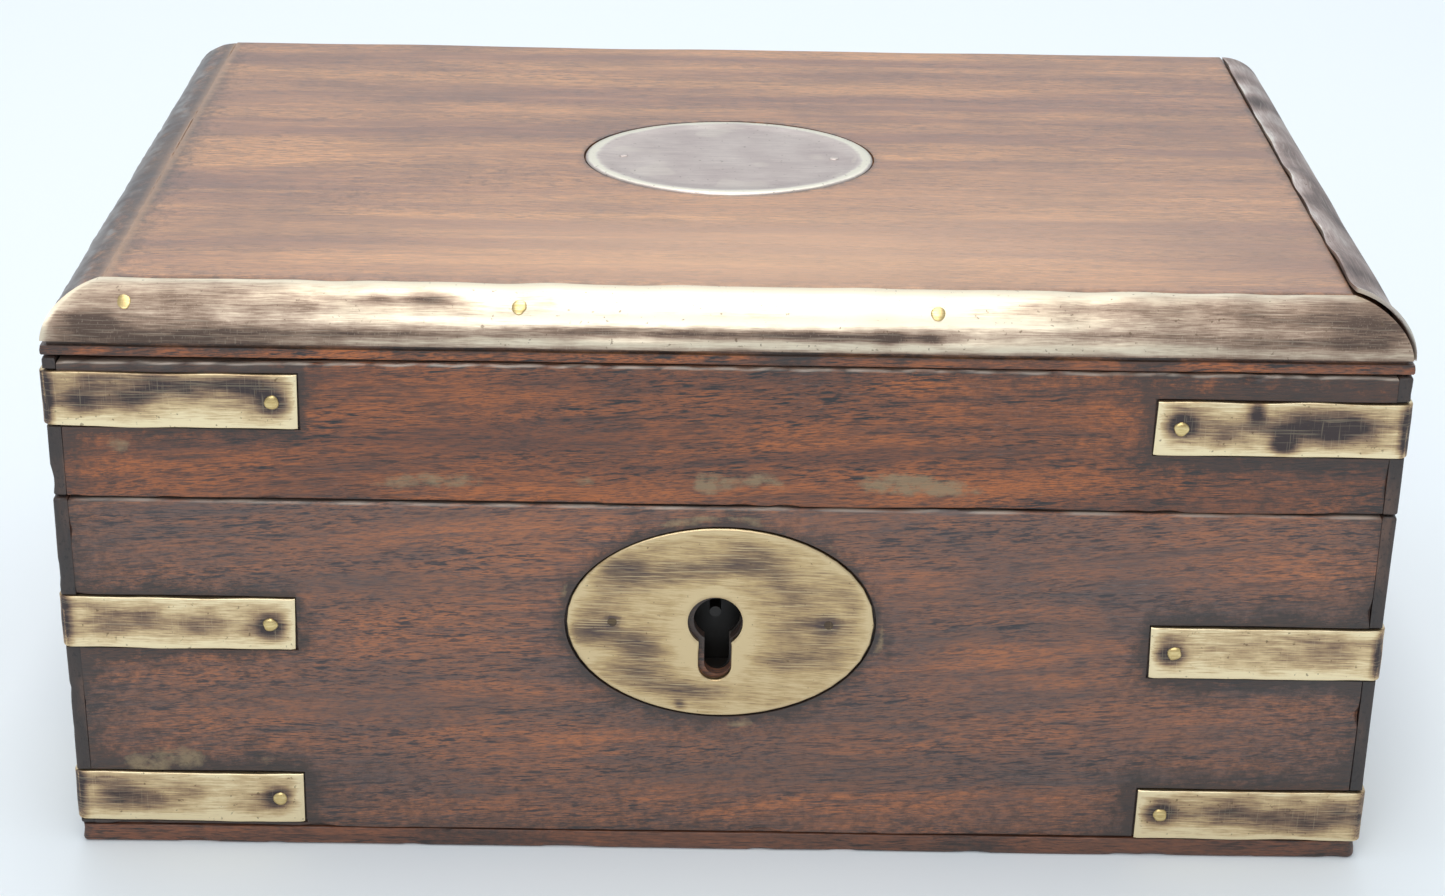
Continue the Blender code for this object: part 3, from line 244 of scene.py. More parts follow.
def brass(name, tones, shine, rubbed="X", slope=0.0, stain=0.0, mottle=0.6, scratched=0.15, filing=0.12):
    """Rolled brass sheet, rubbed by hands and cloths, with a brown and violet tarnish left in the hollows.

    It gives the eye a soft yellow metal with fine scratches along the rubbing, a bright edge where cloth
    catches, painted highlights and reflections where a piece's bright attribute is set for them, and dull
    brown patches that hardly shine. tones run from the brightest rubbing to the deepest tarnish, shine is the
    roughness where it is clean, rubbed the axis that it was rubbed along, stain how much tarnish lies all
    over, and mottle how uneven it is.
    """
    material, tree, shader, place = new_material(name)
    leaned = add(tree, "Mapping", {0: place, "Rotation": (0.0, slope, 0.0)})
    # each pattern: what it lies along, scale, turn, detail, roughness
    patterns = {
        "smears": (leaned, along(rubbed, 11, 2.0), (0, 0, 0), 4.0, 0.6),
        "blotches": (leaned, (200, 200, 300), (0, 0, 0), 5.0, 0.6),
        "brushing": (leaned, along(rubbed, 6, 0.16), (0, 0, 0), 3.0, 0.6),
        "strokes": (place, along(rubbed, 3.5, 0.30), (0, 0.16, 0), 3.0, 0.65),
        "crossing": (place, (110, 110, 5600), (0, 0.5, 0), 1.0, 0.5),
        "across": (place, (4600, 4600, 210), (0, 0.12, 0), 1.0, 0.5),
        "specks": (leaned, (1300, 1300, 1300), (0, 0, 0), 2.0, 0.5),
    }
    for mark, (lie, scale, turn, detail, roughness) in patterns.items():
        stretched = add(tree, "Mapping", {0: lie, "Scale": scale, "Rotation": turn, "Location": (3, 1, 5)})
        feeds = {"Vector": stretched, "Scale": 1.0, "Detail": detail, "Roughness": roughness}
        patterns[mark] = add(tree, "TexNoise", feeds)

    uneven = patterns["blotches"]
    for mark, share in (("smears", 1.1), ("brushing", 1.3), ("strokes", 0.9)):
        uneven = add(tree, "Math", {0: patterns[mark], 1: share, 2: uneven}, operation="MULTIPLY_ADD")
    low, high = 0.22 + stain - mottle / 2, 0.22 + stain + mottle / 2
    uneven = add(tree, "MapRange", {0: uneven, 1: 1.65, 2: 2.65, 3: low, 4: high}, clamp=False)
    tarnish = add(tree, "Attribute", attribute_name="tarnish").node.outputs["Fac"]
    tarnish = add(tree, "Math", {0: tarnish, 1: uneven}, operation="ADD")
    # bright clears the tarnish: rubbing on straps and plates, painted highlights and reflections on the edge
    # strips
    bright = add(tree, "Attribute", attribute_name="bright").node.outputs["Fac"]
    tarnish = add(tree, "Math", {0: tarnish, 1: bright}, operation="SUBTRACT", use_clamp=True)
    stops = tuple(zip((0.0, 0.22, 0.45, 0.68, 1.0), (paint(tone) for tone in tones)))
    colour = add(tree, "ValToRGB", {0: tarnish}, stops=stops)
    fine = add(tree, "ValToRGB", {0: patterns["crossing"]}, stops=((0.59, 0.0), (0.64, scratched)))
    filed = add(tree, "ValToRGB", {0: patterns["across"]}, stops=((0.60, 0.0), (0.72, filing)))
    fine = add(tree, "Math", {0: fine, 1: filed}, operation="MAXIMUM")
    pits = add(tree, "ValToRGB", {0: patterns["specks"]}, stops=((0.68, 0.0), (0.75, 0.6)))
    colour = add(tree, "Mix", {0: fine, 6: colour, 7: paint(tones[0])}, data_type="RGBA")
    colour = add(tree, "Mix", {0: pits, 6: colour, 7: paint("#5b4a38")}, data_type="RGBA")
    tree.links.new(colour, shader.inputs["Base Color"])
    metal = add(tree, "MapRange", {0: tarnish, 1: 0.5, 2: 1.0, 3: 1.0, 4: 0.5})
    tree.links.new(metal, shader.inputs["Metallic"])
    rough = add(tree, "MapRange", {0: tarnish, 1: 0.1, 2: 1.0, 3: shine, 4: shine + 0.2})
    tree.links.new(rough, shader.inputs["Roughness"])

    feeds = {0: patterns["brushing"], 1: 0.5, 2: patterns["blotches"]}
    height = add(tree, "Math", feeds, operation="MULTIPLY_ADD")
    height = add(tree, "Math", {0: fine, 1: -0.6, 2: height}, operation="MULTIPLY_ADD")
    bump = add(tree, "Bump", {"Strength": 0.3, "Distance": 0.05 * MM, "Height": height})
    tree.links.new(bump, shader.inputs["Normal"])
    return material


def iron(name):
    """Hammered sheet iron, blackened and oily, with a little rust: a dark grey that shines softly."""
    material, tree, shader, place = new_material(name)
    clouds = add(tree, "Mapping", {0: place, "Scale": (200, 200, 200)})
    clouds = add(tree, "TexNoise", {"Vector": clouds, "Scale": 1.0, "Detail": 5.0, "Roughness": 0.65})
    tones = ((0.35, paint("#4c4a48")), (0.6, paint("#5d5148")), (0.75, paint("#5a3d2c")))
    tree.links.new(add(tree, "ValToRGB", {0: clouds}, stops=tones), shader.inputs["Base Color"])
    shader.inputs["Metallic"].default_value = 0.85
    rough = add(tree, "MapRange", {0: clouds, 1: 0.3, 2: 0.75, 3: 0.4, 4: 0.7})
    tree.links.new(rough, shader.inputs["Roughness"])
    bump = add(tree, "Bump", {"Strength": 0.4, "Distance": 0.1 * MM, "Height": clouds})
    tree.links.new(bump, shader.inputs["Normal"])
    return material


def lock_brass(name):
    """Sheet brass of the lock: worn dull where the lid lands, and painted black as shade down in the board.
    """
    material, tree, shader, place = new_material(name)
    height = add(tree, "SeparateXYZ", {0: place}).node.outputs["Z"]
    # painted shade: below the top of the board the brass is painted near black and dull
    painted_shade = add(tree, "MapRange", {0: height, 1: 0.056, 2: 0.0595, 3: 1.0, 4: 0.0})
    clouds = add(tree, "Mapping", {0: place, "Scale": (260, 260, 260)})
    clouds = add(tree, "TexNoise", {"Vector": clouds, "Scale": 1.0, "Detail": 5.0, "Roughness": 0.65})
    worn = add(tree, "ValToRGB", {0: clouds}, stops=((0.35, paint("#a58d60")), (0.7, paint("#5d4b38"))))
    colour = add(tree, "Mix", {0: painted_shade, 6: worn, 7: paint("#15120f")}, data_type="RGBA")
    tree.links.new(colour, shader.inputs["Base Color"])
    tree.links.new(add(tree, "MapRange", {0: painted_shade, 3: 0.9, 4: 0.1}), shader.inputs["Metallic"])
    rough = add(tree, "MapRange", {0: clouds, 1: 0.3, 2: 0.75, 3: 0.38, 4: 0.6})
    tree.links.new(rough, shader.inputs["Roughness"])
    bump = add(tree, "Bump", {"Strength": 0.3, "Distance": 0.08 * MM, "Height": clouds})
    tree.links.new(bump, shader.inputs["Normal"])
    return material


LID_TONES = ("#b4652f", "#7c472b", "#3f312e", "#1a1a1e")
BASE_TONES = ("#ae6b42", "#7d5541", "#4a4546", "#282a30")
SIDE_TONES = ("#835237", "#70452f", "#4c3730", "#262020")
TOP_TONES = ("#dc9a5c", "#9c6543", "#72503f", "#4d3a33")
BOTTOM_TONES = ("#8a5336", "#6b4430", "#4a342c", "#241d1c")
INNER_TONES = ("#94603e", "#7c4e34", "#5c3b2b", "#38291f")
LID_WOOD = rosewood("rosewood_lid_front", "X", LID_TONES, 0.42, 0.0, slope=0.05, streak=0.85, open_pores=1.0)
FRONT_WOOD = rosewood(
    "rosewood_base_front", "X", BASE_TONES, 0.45, 5.0,
    slope=0.06, streak=0.76, open_pores=0.9,
)
SIDE_WOOD = rosewood("rosewood_side", "Y", SIDE_TONES, 0.42, 11.0)
TOP_WOOD = rosewood(
    "rosewood_top", "X", TOP_TONES, 0.36, 23.0,
    coat=0.8, streak=0.5, open_pores=0.45, bare="#ecb98c", cake="#8b8886",
)
BOTTOM_WOOD = rosewood("rosewood_bottom", "X", BOTTOM_TONES, 0.55, 31.0)
INNER_WOOD = rosewood("rosewood_inner_lid", "Y", INNER_TONES, 0.5, 41.0)
END_WOOD = end_grain("rosewood_end_grain")

STRAP_TONES = ("#f0deb6", "#d9c096", "#b69b79", "#866f5e", "#443b3b")
EDGE_TONES = ("#e6dac2", "#d2c2ab", "#b29f8d", "#8f7a6a", "#5a4a41")
PLATE_TONES = ("#d8c197", "#c4a97e", "#a68d6e", "#816d5b", "#564a49")
PLAQUE_TONES = ("#f4ecd8", "#d6c9c0", "#c6b9b2", "#b3a5a1", "#8a8180")
DARK_TONES = ("#f4ece0", "#cfc1b9", "#b29f97", "#8f817c", "#5f5654")
PIN_TONES = ("#f0dca8", "#d6be84", "#b29664", "#88704f", "#584839")
HINGE_TONES = ("#b8a074", "#a18a60", "#86724f", "#6a5a46", "#463b36")
STRAP_BRASS = brass("rubbed_strap_brass", STRAP_TONES, 0.36, stain=-0.04, mottle=0.7)
EDGE_BRASS = brass("rubbed_edge_brass", EDGE_TONES, 0.42, stain=0.02, mottle=0.6)
PLATE_BRASS = brass(
    "rubbed_plate_brass", PLATE_TONES, 0.34,
    slope=-0.1, stain=-0.04, mottle=0.7, scratched=0.6, filing=0.0,
)
PLAQUE_BRASS = brass("tarnished_plaque_brass", PLAQUE_TONES, 0.36, stain=0.15, mottle=0.35, filing=0.0)
DARK_BRASS = brass("dark_edge_brass", DARK_TONES, 0.42, "Y", stain=0.1, mottle=0.4, filing=0.0)
PIN_BRASS = brass("bright_pin_brass", PIN_TONES, 0.30, mottle=0.4)
HINGE_BRASS = brass("dull_hinge_brass", HINGE_TONES, 0.42, stain=0.2)
IRON = iron("dark_lock_iron")
LOCK_BRASS = lock_brass("lock_brass_worn_and_painted_shade")

# ---------------------------------------------------------------- grids and meshes


def corners_of(node):
    """The low and the high corner of a node's box."""
    return tuple(np.array(corner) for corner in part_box(node))


def waves(points, size, seed, count=12):
    """Smooth unevenness: sine waves in random directions, added, about `size` metres from crest to crest."""
    chance = np.random.default_rng(seed)
    ways = chance.normal(size=(count, points.shape[1]))
    ways /= np.linalg.norm(ways, axis=1, keepdims=True)
    ways /= size * chance.uniform(0.6, 1.7, (count, 1))
    phases = chance.uniform(0, math.tau, count)
    return np.sin(points @ ways.T * math.tau + phases).sum(axis=1) / math.sqrt(count / 2)


def fading(distance, reach):
    """One at no distance, and falling to 1/e of itself over each reach."""
    return np.exp(-distance / reach)


def line_at(offset, half):
    """A soft line: one where the offset is nothing, and fading on both sides within about `half`."""
    return np.exp(-((offset / half) ** 2))


def lattice(rows, columns, closed=False):
    """Four-sided faces of a grid of points in rows. Closed joins the last column to the first."""
    down = np.arange(rows - 1)[:, None] * columns
    across = np.arange(columns if closed else columns - 1)[None, :]
    beside = (across + 1) % columns
    corners = (down + across, down + beside, down + columns + beside, down + columns + across)
    return np.stack([corner.ravel() for corner in corners], axis=1)


def end_caps(rows, count):
    """The first and the last ring of a closed grid, as one face each."""
    return np.arange(count), np.arange(count) + count * (rows - 1)


def arc(centre, radius, start, end, steps):
    """Points on a circle from one angle to another, in degrees."""
    angles = np.radians(np.linspace(start, end, steps + 1))
    return np.stack([centre[0] + radius * np.cos(angles), centre[1] + radius * np.sin(angles)], axis=1)


def shade(mesh):
    """Small faces are shaded as parts of a smooth surface, and large flat ones as they are."""
    areas = np.empty(len(mesh.polygons), np.float32)
    sides = np.empty(len(mesh.polygons), np.int32)
    mesh.polygons.foreach_get("area", areas)
    mesh.polygons.foreach_get("loop_total", sides)
    mesh.polygons.foreach_set("use_smooth", (areas < 16 * MM * MM) & (sides < 8))
    mesh.update()
    mesh.set_sharp_from_angle(angle=math.radians(40))


def face_outwards(mesh):
    """Turns a closed mesh's faces so that all of them point out."""
    shape = bmesh.new()
    shape.from_mesh(mesh)
    bmesh.ops.recalc_face_normals(shape, faces=shape.faces)
    shape.to_mesh(mesh)
    shape.free()


def make(name, points, faces, material, body, stands_for=(), caps=()):
    """One piece: points that fall together are made one, and the faces are turned to point outwards."""
    points = np.asarray(points, float).reshape(-1, 3)
    _, first, index = np.unique(np.round(points, 7), axis=0, return_index=True, return_inverse=True)
    index = index.reshape(-1)
    loops = index[faces].tolist() + [index[np.asarray(cap)].tolist() for cap in caps]
    loops = [list(dict.fromkeys(loop)) for loop in loops]
    mesh = bpy.data.meshes.new(name)
    mesh.from_pydata(points[first].tolist(), [], [loop for loop in loops if len(loop) > 2])
    face_outwards(mesh)
    mesh.materials.append(material)
    shade(mesh)
    piece = bpy.data.objects.new(name, mesh)
    bpy.context.scene.collection.objects.link(piece)
    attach(piece, body)
    if stands_for:
        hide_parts(*stands_for)
    return piece


def points_of(piece):
    flat = np.empty(len(piece.data.vertices) * 3, np.float32)
    piece.data.vertices.foreach_get("co", flat)
    return flat.reshape(-1, 3).astype(float)


def move_points(piece, points):
    piece.data.vertices.foreach_set("co", points.astype(np.float32).ravel())
    piece.data.update()


def carry(piece, name, values):
    """Gives a piece a number at each point, from 0 to 1, for its material to read."""
    attribute = piece.data.attributes.new(name, "FLOAT", "POINT")
    attribute.data.foreach_set("value", np.clip(values, 0, 1).astype(np.float32))


def ring_of(corners, rounding, steps, inset=0.0):
    """A closed outline, counter-clockwise, drawn in by an inset.

    Each corner moves in along the normals of both its sides, its quarter circle shrinks with it, and each
    side is divided into as many parts as its full length holds steps.
    """
    corners = np.asarray(corners, float)
    ways = np.roll(corners, -1, axis=0) - corners
    lengths = np.linalg.norm(ways, axis=1)
    ways /= lengths[:, None]
    out = np.stack([ways[:, 1], -ways[:, 0]], axis=1)
    moved = corners - inset * (out + np.roll(out, 1, axis=0))
    radii = np.maximum(np.asarray(rounding, float) - inset, 0)
    turn = np.linspace(0, math.pi / 2, 5)[:, None]
    runs = []
    for i, corner in enumerate(moved):
        inward, onward = ways[i - 1], ways[i]
        centre = corner + radii[i] * (onward - inward)
        runs.append(centre + radii[i] * (inward * np.sin(turn) - onward * np.cos(turn)))
        following = (i + 1) % len(moved)
        first, final = corner + onward * radii[i], moved[following] - onward * radii[following]
        share = np.linspace(0, 1, max(int(lengths[i] / steps[i]), 1) + 1)[1:-1, None]
        runs.append(first + (final - first) * share)
    return np.concatenate(runs)


def softened(low, high, arris, step):
    """Heights and insets of the rings of an upright face, its edges rounded by arris (lower, upper)."""
    turn = np.linspace(0, math.pi / 2, 4)
    lower = (low + arris[0] * (1 - np.cos(turn)), arris[0] * (1 - np.sin(turn)))
    upper = (high - arris[1] * (1 - np.cos(turn[::-1])), arris[1] * (1 - np.sin(turn[::-1])))
    middle = np.linspace(lower[0][-1], upper[0][0], max(int((high - low) / step), 2) + 1)[1:-1]
    heights = np.concatenate([lower[0], middle, upper[0]])
    insets = np.concatenate([lower[1], np.zeros(len(middle)), upper[1]])
    return heights, insets


def stand_board(name, node, corners, rounding, steps, arris, material, body, step=FINE):
    """A board whose outline in plan is carried straight up, its upper and lower edges rounded over."""
    low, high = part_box(node)
    heights, insets = softened(low.z, high.z, arris, step)
    plans = np.stack([ring_of(corners, rounding, steps, inset) for inset in insets])
    rows, count = plans.shape[:2]
    levels = np.broadcast_to(heights[:, None, None], (rows, count, 1))
    rings = np.concatenate([plans, levels], axis=2)
    faces, caps = lattice(rows, count, closed=True), end_caps(rows, count)
    return make(name, rings, faces, material, body, (node,), caps)


def rectangle(low, high):
    """The corners of a box in plan."""
    return [(low[0], low[1]), (high[0], low[1]), (high[0], high[1]), (low[0], high[1])]


def edge_distance(points, low, high):
    """Distance from each point to the nearest edge of a box: the second smallest of those to its faces."""
    low, high = np.asarray(low), np.asarray(high)
    to_faces = np.minimum(np.abs(points - low), np.abs(high - points))
    return np.sort(to_faces, axis=1)[:, 1]


def handle(piece, node, seed, swell=0.07 * MM, nick=0.35 * MM):
    """A hundred years of use: long shallow hollows all over, and small nicks knocked out of the edges."""
    points = points_of(piece)
    normals = np.empty(len(points) * 3, np.float32)
    piece.data.vertex_normals.foreach_get("vector", normals)
    depth = swell * waves(points, 30 * MM, seed)
    knocks = np.clip(waves(points, 7 * MM, seed + 1) - 0.7, 0, 2)
    low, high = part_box(node)
    depth -= nick * knocks * fading(edge_distance(points, low, high), 0.8 * MM)
    step = normals.reshape(-1, 3) * depth[:, None]
    level = np.minimum(np.abs(points[:, 2] - low.z), np.abs(points[:, 2] - high.z))
    step[level < 0.01 * MM, 2] = 0
    move_points(piece, points + step)
    shade(piece.data)


def cut_out(piece, *cutters):
    """Takes the cutters' shapes out of a piece, and then the cutters go."""
    for cutter in cutters:
        modifier = piece.modifiers.new("cut", "BOOLEAN")
        modifier.operation = "DIFFERENCE"
        modifier.solver = "EXACT"
        modifier.object = cutter
    bpy.context.view_layer.update()
    solid = piece.evaluated_get(bpy.context.evaluated_depsgraph_get())
    mesh = bpy.data.meshes.new_from_object(solid)
    piece.modifiers.clear()
    old, piece.data = piece.data, mesh
    bpy.data.meshes.remove(old)
    for cutter in cutters:
        bpy.data.objects.remove(cutter)


def cutter_of(rings, count):
    """A closed cutter from rings of points, each with `count` points."""
    rows = len(rings) // count
    mesh = bpy.data.meshes.new("cutter")
    faces = lattice(rows, count, closed=True).tolist() + [cap.tolist() for cap in end_caps(rows, count)]
    mesh.from_pydata(np.asarray(rings).tolist(), [], faces)
    face_outwards(mesh)
    cutter = bpy.data.objects.new("cutter", mesh)
    bpy.context.scene.collection.objects.link(cutter)
    return cutter


def box_cutter(low, high):
    ring = rectangle(low, high)
    return cutter_of([(*spot, level) for level in (low[2], high[2]) for spot in ring], 4)


# ---------------------------------------------------------------- where the brass lies


def legs(strap):
    """(low, high) of a strap's front or back leg and of its side leg."""
    low, high = corners_of(strap)
    x_side, y_side = np.sign(low[:2] + high[:2])
    across, beside = (low.copy(), high.copy()), (low.copy(), high.copy())
    if y_side < 0:
        across[1][1] = low[1] + SHEET
    else:
        across[0][1] = high[1] - SHEET
    if x_side < 0:
        beside[1][0] = low[0] + SHEET
    else:
        beside[0][0] = high[0] - SHEET
    return across, beside


def oval_of(node, flat):
    """The two axes that an oval plate lies in, its middle and its radii. flat is the axis through it."""
    low, high = corners_of(node)
    keep = [axis for axis in range(3) if axis != flat]
    return keep, (low + high)[keep] / 2, (high - low)[keep] / 2


def near_oval(points, node, flat):
    """Distance over a board's face from the edge of the oval plate that lies in it, and 1 on other faces."""
    keep, centre, radii = oval_of(node, flat)
    share = np.linalg.norm((points[:, keep] - centre) / radii, axis=1)
    reach = np.linalg.norm(points[:, keep] - centre, axis=1)
    outside = reach * (1 - 1 / np.maximum(share, 1e-6))
    low, high = corners_of(node)
    level = low[flat] if flat == 1 else high[flat]
    return np.where(np.abs(points[:, flat] - level) < 2 * MM, np.abs(outside), 1.0)


def near_brass(points, on_lid):
    """Distance from each point to the nearest strap of the lid or of the base."""
    nearest = np.full(len(points), 1.0)
    for strap in STRAPS:
        if strap.startswith("lid") == on_lid:
            for low, high in legs(strap):
                outside = np.maximum(np.maximum(low - points, points - high), 0)
                nearest = np.minimum(nearest, np.linalg.norm(outside, axis=1))
    return nearest


def near_keyhole(points):
    """Distance over the front from the straight line down the middle of the keyhole."""
    x, z = KEYHOLE
    below = np.clip(z - points[:, 2], 0, KEY_DROP - KEY_SLOT)
    return np.hypot(points[:, 0] - x, points[:, 2] - z + below)


def soil(piece, node, on_lid):
    """Dirt and painted shade: thick against the brass, thinner to a board's edges, and none inside the box.
    """
    points = points_of(piece)
    metal = near_brass(points, on_lid)
    if node == "base_front_board":
        metal = np.minimum(metal, near_oval(points, "escutcheon", 1))
    edge = edge_distance(points, *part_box(node))
    ragged = 1 + 0.35 * waves(points, 6 * MM, 7)
    grime_and_shade = 0.75 * fading(metal, 1.0 * MM) + 0.5 * ragged * fading(metal, 3.8 * MM)
    grime_and_shade = grime_and_shade + 0.12 * ragged * fading(edge, 1.2 * MM)
    from_side, from_front = WIDTH / 2 - np.abs(points[:, 0]), DEPTH / 2 - np.abs(points[:, 1])
    corner = np.maximum(from_side, from_front)
    # darker towards the corners: part dirt, part painted shade
    grime_and_shade = grime_and_shade + 0.3 * fading(corner, 4 * MM) + 0.34 * fading(corner, 17 * MM)
    # darker towards the lid board's top edge; on the base darker towards the bottom, part dirt and part
    # painted shade near the floor
    if on_lid:
        grime_and_shade = grime_and_shade + 0.3 * fading(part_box(node)[1].z - points[:, 2], 4 * MM)
    else:
        grime_and_shade = grime_and_shade + 0.45 * fading(points[:, 2] - 3.5 * MM, 17 * MM)
    # painted shade with dirt: the outer edge of the faces that meet in the seam goes near black
    joint = np.minimum(np.abs(points[:, 2] - RIM), np.abs(points[:, 2] - LID_RIM)) < 0.03 * MM
    outer = np.minimum(from_side, from_front) < 1.2 * MM
    grime_and_shade = np.where(joint, np.where(outer, 1.2, 0.15), grime_and_shade)
    inside = (from_side > 9.4 * MM) & (from_front > 9.4 * MM)
    grime_and_shade = np.where(inside & (points[:, 2] < 84 * MM), 0.05, grime_and_shade)
    if node == "lid_front_rail":
        grime_and_shade = grime_and_shade + 0.26 * line_at(points[:, 0] - 62 * MM, 34 * MM)
    # painted shade: the walls inside the keyhole go black, all but the foot of the slot
    if node == "base_front_board":
        foot = KEYHOLE[1] - KEY_DROP + 3.4 * MM
        hidden = (near_keyhole(points) < 6 * MM) & (points[:, 1] > FRONT + 0.9 * MM)
        grime_and_shade = np.where(hidden, np.where(points[:, 2] > foot, 2, 0.35), grime_and_shade)
    carry(piece, "grime_and_shade", grime_and_shade)


def blots(across, up, spots):
    """The sum of soft oval spots, each (across, up, half width, half height, strength) in millimetres."""
    spots = np.asarray(spots, float)
    a = (across[:, None] / MM - spots[:, 0]) / spots[:, 2]
    b = (up[:, None] / MM - spots[:, 1]) / spots[:, 3]
    return (spots[:, 4] * np.exp(-(a * a + b * b))).sum(axis=1)


# ---------------------------------------------------------------- boards


def strap_cutters(on_lid, board):
    """Cutters, open to the outside, for the straps let into the front, back, left or right board.

    A front or back board takes the legs across it, and a side board both legs, because its lips do.
    """
    made = []
    for strap in STRAPS:
        if strap.startswith("lid") != on_lid or board not in strap:
            continue
        across, beside = legs(strap)
        for flat, (low, high) in ((1, across), (0, beside)):
            if flat == 0 and board in ("front", "back"):
                continue
            low, high = low - GAP, high + GAP
            if low[flat] + high[flat] < 0:
                low[flat] -= 2 * MM
            else:
                high[flat] += 2 * MM
            made.append(box_cutter(low, high))
    return made


def rim_bevel(direction):
    """Cutter for the bevel along the back edge: a wedge that follows the frame's own bevel."""
    middle = (RIM + LID_RIM) / 2
    slope, reach, start = math.tan(math.radians(50)), 12 * MM, 0.23 * MM
    ring = [
        (HINGE_LINE, middle - direction * FAR),
        (HINGE_LINE, middle + direction * start),
        (HINGE_LINE + reach, middle + direction * (start + reach * slope)),
        (HINGE_LINE + reach, middle - direction * FAR),
    ]
    return cutter_of([(x, *spot) for x in (LEFT - FAR, RIGHT + FAR) for spot in ring], 4)


def hinge_cutters(direction):
    """What the hinges need out of a back board: the leaf's seat and the round of the knuckles."""
    made = []
    middle = (RIM + LID_RIM) / 2
    ends = sorted((middle + direction * 1.6 * MM, middle - direction * 4 * MM))
    ring = arc((HINGE_LINE, middle), 2.35 * MM, 0, 345, 23)
    for side in ("left", "right"):
        low, high = corners_of(("hinge_lid_leaf_" if direction > 0 else "hinge_base_leaf_") + side)
        left, right = low[0] - GAP, high[0] + GAP
        made.append(box_cutter((left, low[1] - GAP, ends[0]), (right, HINGE_LINE, ends[1])))
        made.append(cutter_of([(x, *spot) for x in (left, right) for spot in ring], len(ring)))
    return made


def keyhole_outline(shrink=0.0):
    """(x, z) round the keyhole: a circle, with a round-ended slot below it. shrink draws it in all round."""
    x, z = KEYHOLE
    radius, half = KEY_ROUND - shrink, KEY_SLOT - shrink
    meet = math.degrees(math.asin(half / radius))
    circle = arc((x, z), radius, -90 + meet, 270 - meet, 44)
    foot = z - KEY_DROP + shrink + half
    side = np.linspace(circle[-1][1], foot, 8)[1:-1]
    left = np.stack([np.full(len(side), x - half), side], axis=1)
    bottom = arc((x, foot), half, 180, 360, 16)
    right = np.stack([np.full(len(side), x + half), side[::-1]], axis=1)
    return np.concatenate([circle, left, bottom, right])


def oval_ring(node, flat, grow, count=96):
    """Points round an oval plate in its own plane, grown by `grow`."""
    _, centre, radii = oval_of(node, flat)
    angles = np.linspace(0, math.tau, count, endpoint=False)
    return centre + (radii + grow) * np.stack([np.cos(angles), np.sin(angles)], axis=1)


def pushed(ring, flat, near, far):
    """Cutter from a flat ring, carried from one place to another along an axis."""
    keep = [axis for axis in range(3) if axis != flat]
    points = np.zeros((2, len(ring), 3))
    points[:, :, keep] = ring
    points[:, :, flat] = np.array([near, far])[:, None]
    return cutter_of(points.reshape(-1, 3), len(ring))


def front_or_back(name, node, facing, on_lid, arris):
    """A front or back board: a plain rectangle in plan, finely divided on its outer face only."""
    low, high = corners_of(node)
    shut = 0.22 * MM  # driven tight against the lips of the side boards
    corners = rectangle(low - [shut, 0, 0], high + [shut, 0, 0])
    steps = (FINE, COARSE, COARSE, COARSE) if facing < 0 else (COARSE, COARSE, FINE, COARSE)
    material = LID_WOOD if on_lid else FRONT_WOOD
    body = "lid" if on_lid else "base"
    return stand_board(name, node, corners, [0.04 * MM] * 4, steps, arris, material, body)


def side_board(name, node, side, on_lid):
    """A side board, rebated at both ends in plan: a thin lip of end grain covers the front board's end."""
    low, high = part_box(node)
    outer, inner = (low.x, high.x) if side < 0 else (high.x, low.x)
    lip = outer - side * SIDE_LIP
    shoulder = high.y - 9.8 * MM
    corners = [
        (outer, low.y), (lip, low.y), (lip, -shoulder), (inner, -shoulder),
        (inner, shoulder), (lip, shoulder), (lip, high.y), (outer, high.y),
    ]
    sharp, worn = 0.04 * MM, 0.45 * MM
    rounding = [worn, sharp, 0, 0, 0, 0, sharp, worn]
    steps = [FINE, *[COARSE] * 5, FINE, FINE]
    if side > 0:
        corners, rounding = corners[::-1], rounding[::-1]
    body, arris = "lid" if on_lid else "base", (0.35 * MM, 0.5 * MM)
    piece = stand_board(name, node, corners, rounding, steps, arris, SIDE_WOOD, body)
    piece.data.materials.append(END_WOOD)
    return piece


def mark_end_grain(piece):
    """The faces of a side board that look to the front or the back show end grain."""
    mesh = piece.data
    normals = np.empty(len(mesh.polygons) * 3, np.float32)
    mesh.polygon_normals.foreach_get("vector", normals)
    ends = np.abs(normals.reshape(-1, 3)[:, 1]) > 0.6
    mesh.polygons.foreach_set("material_index", ends.astype(np.int32))


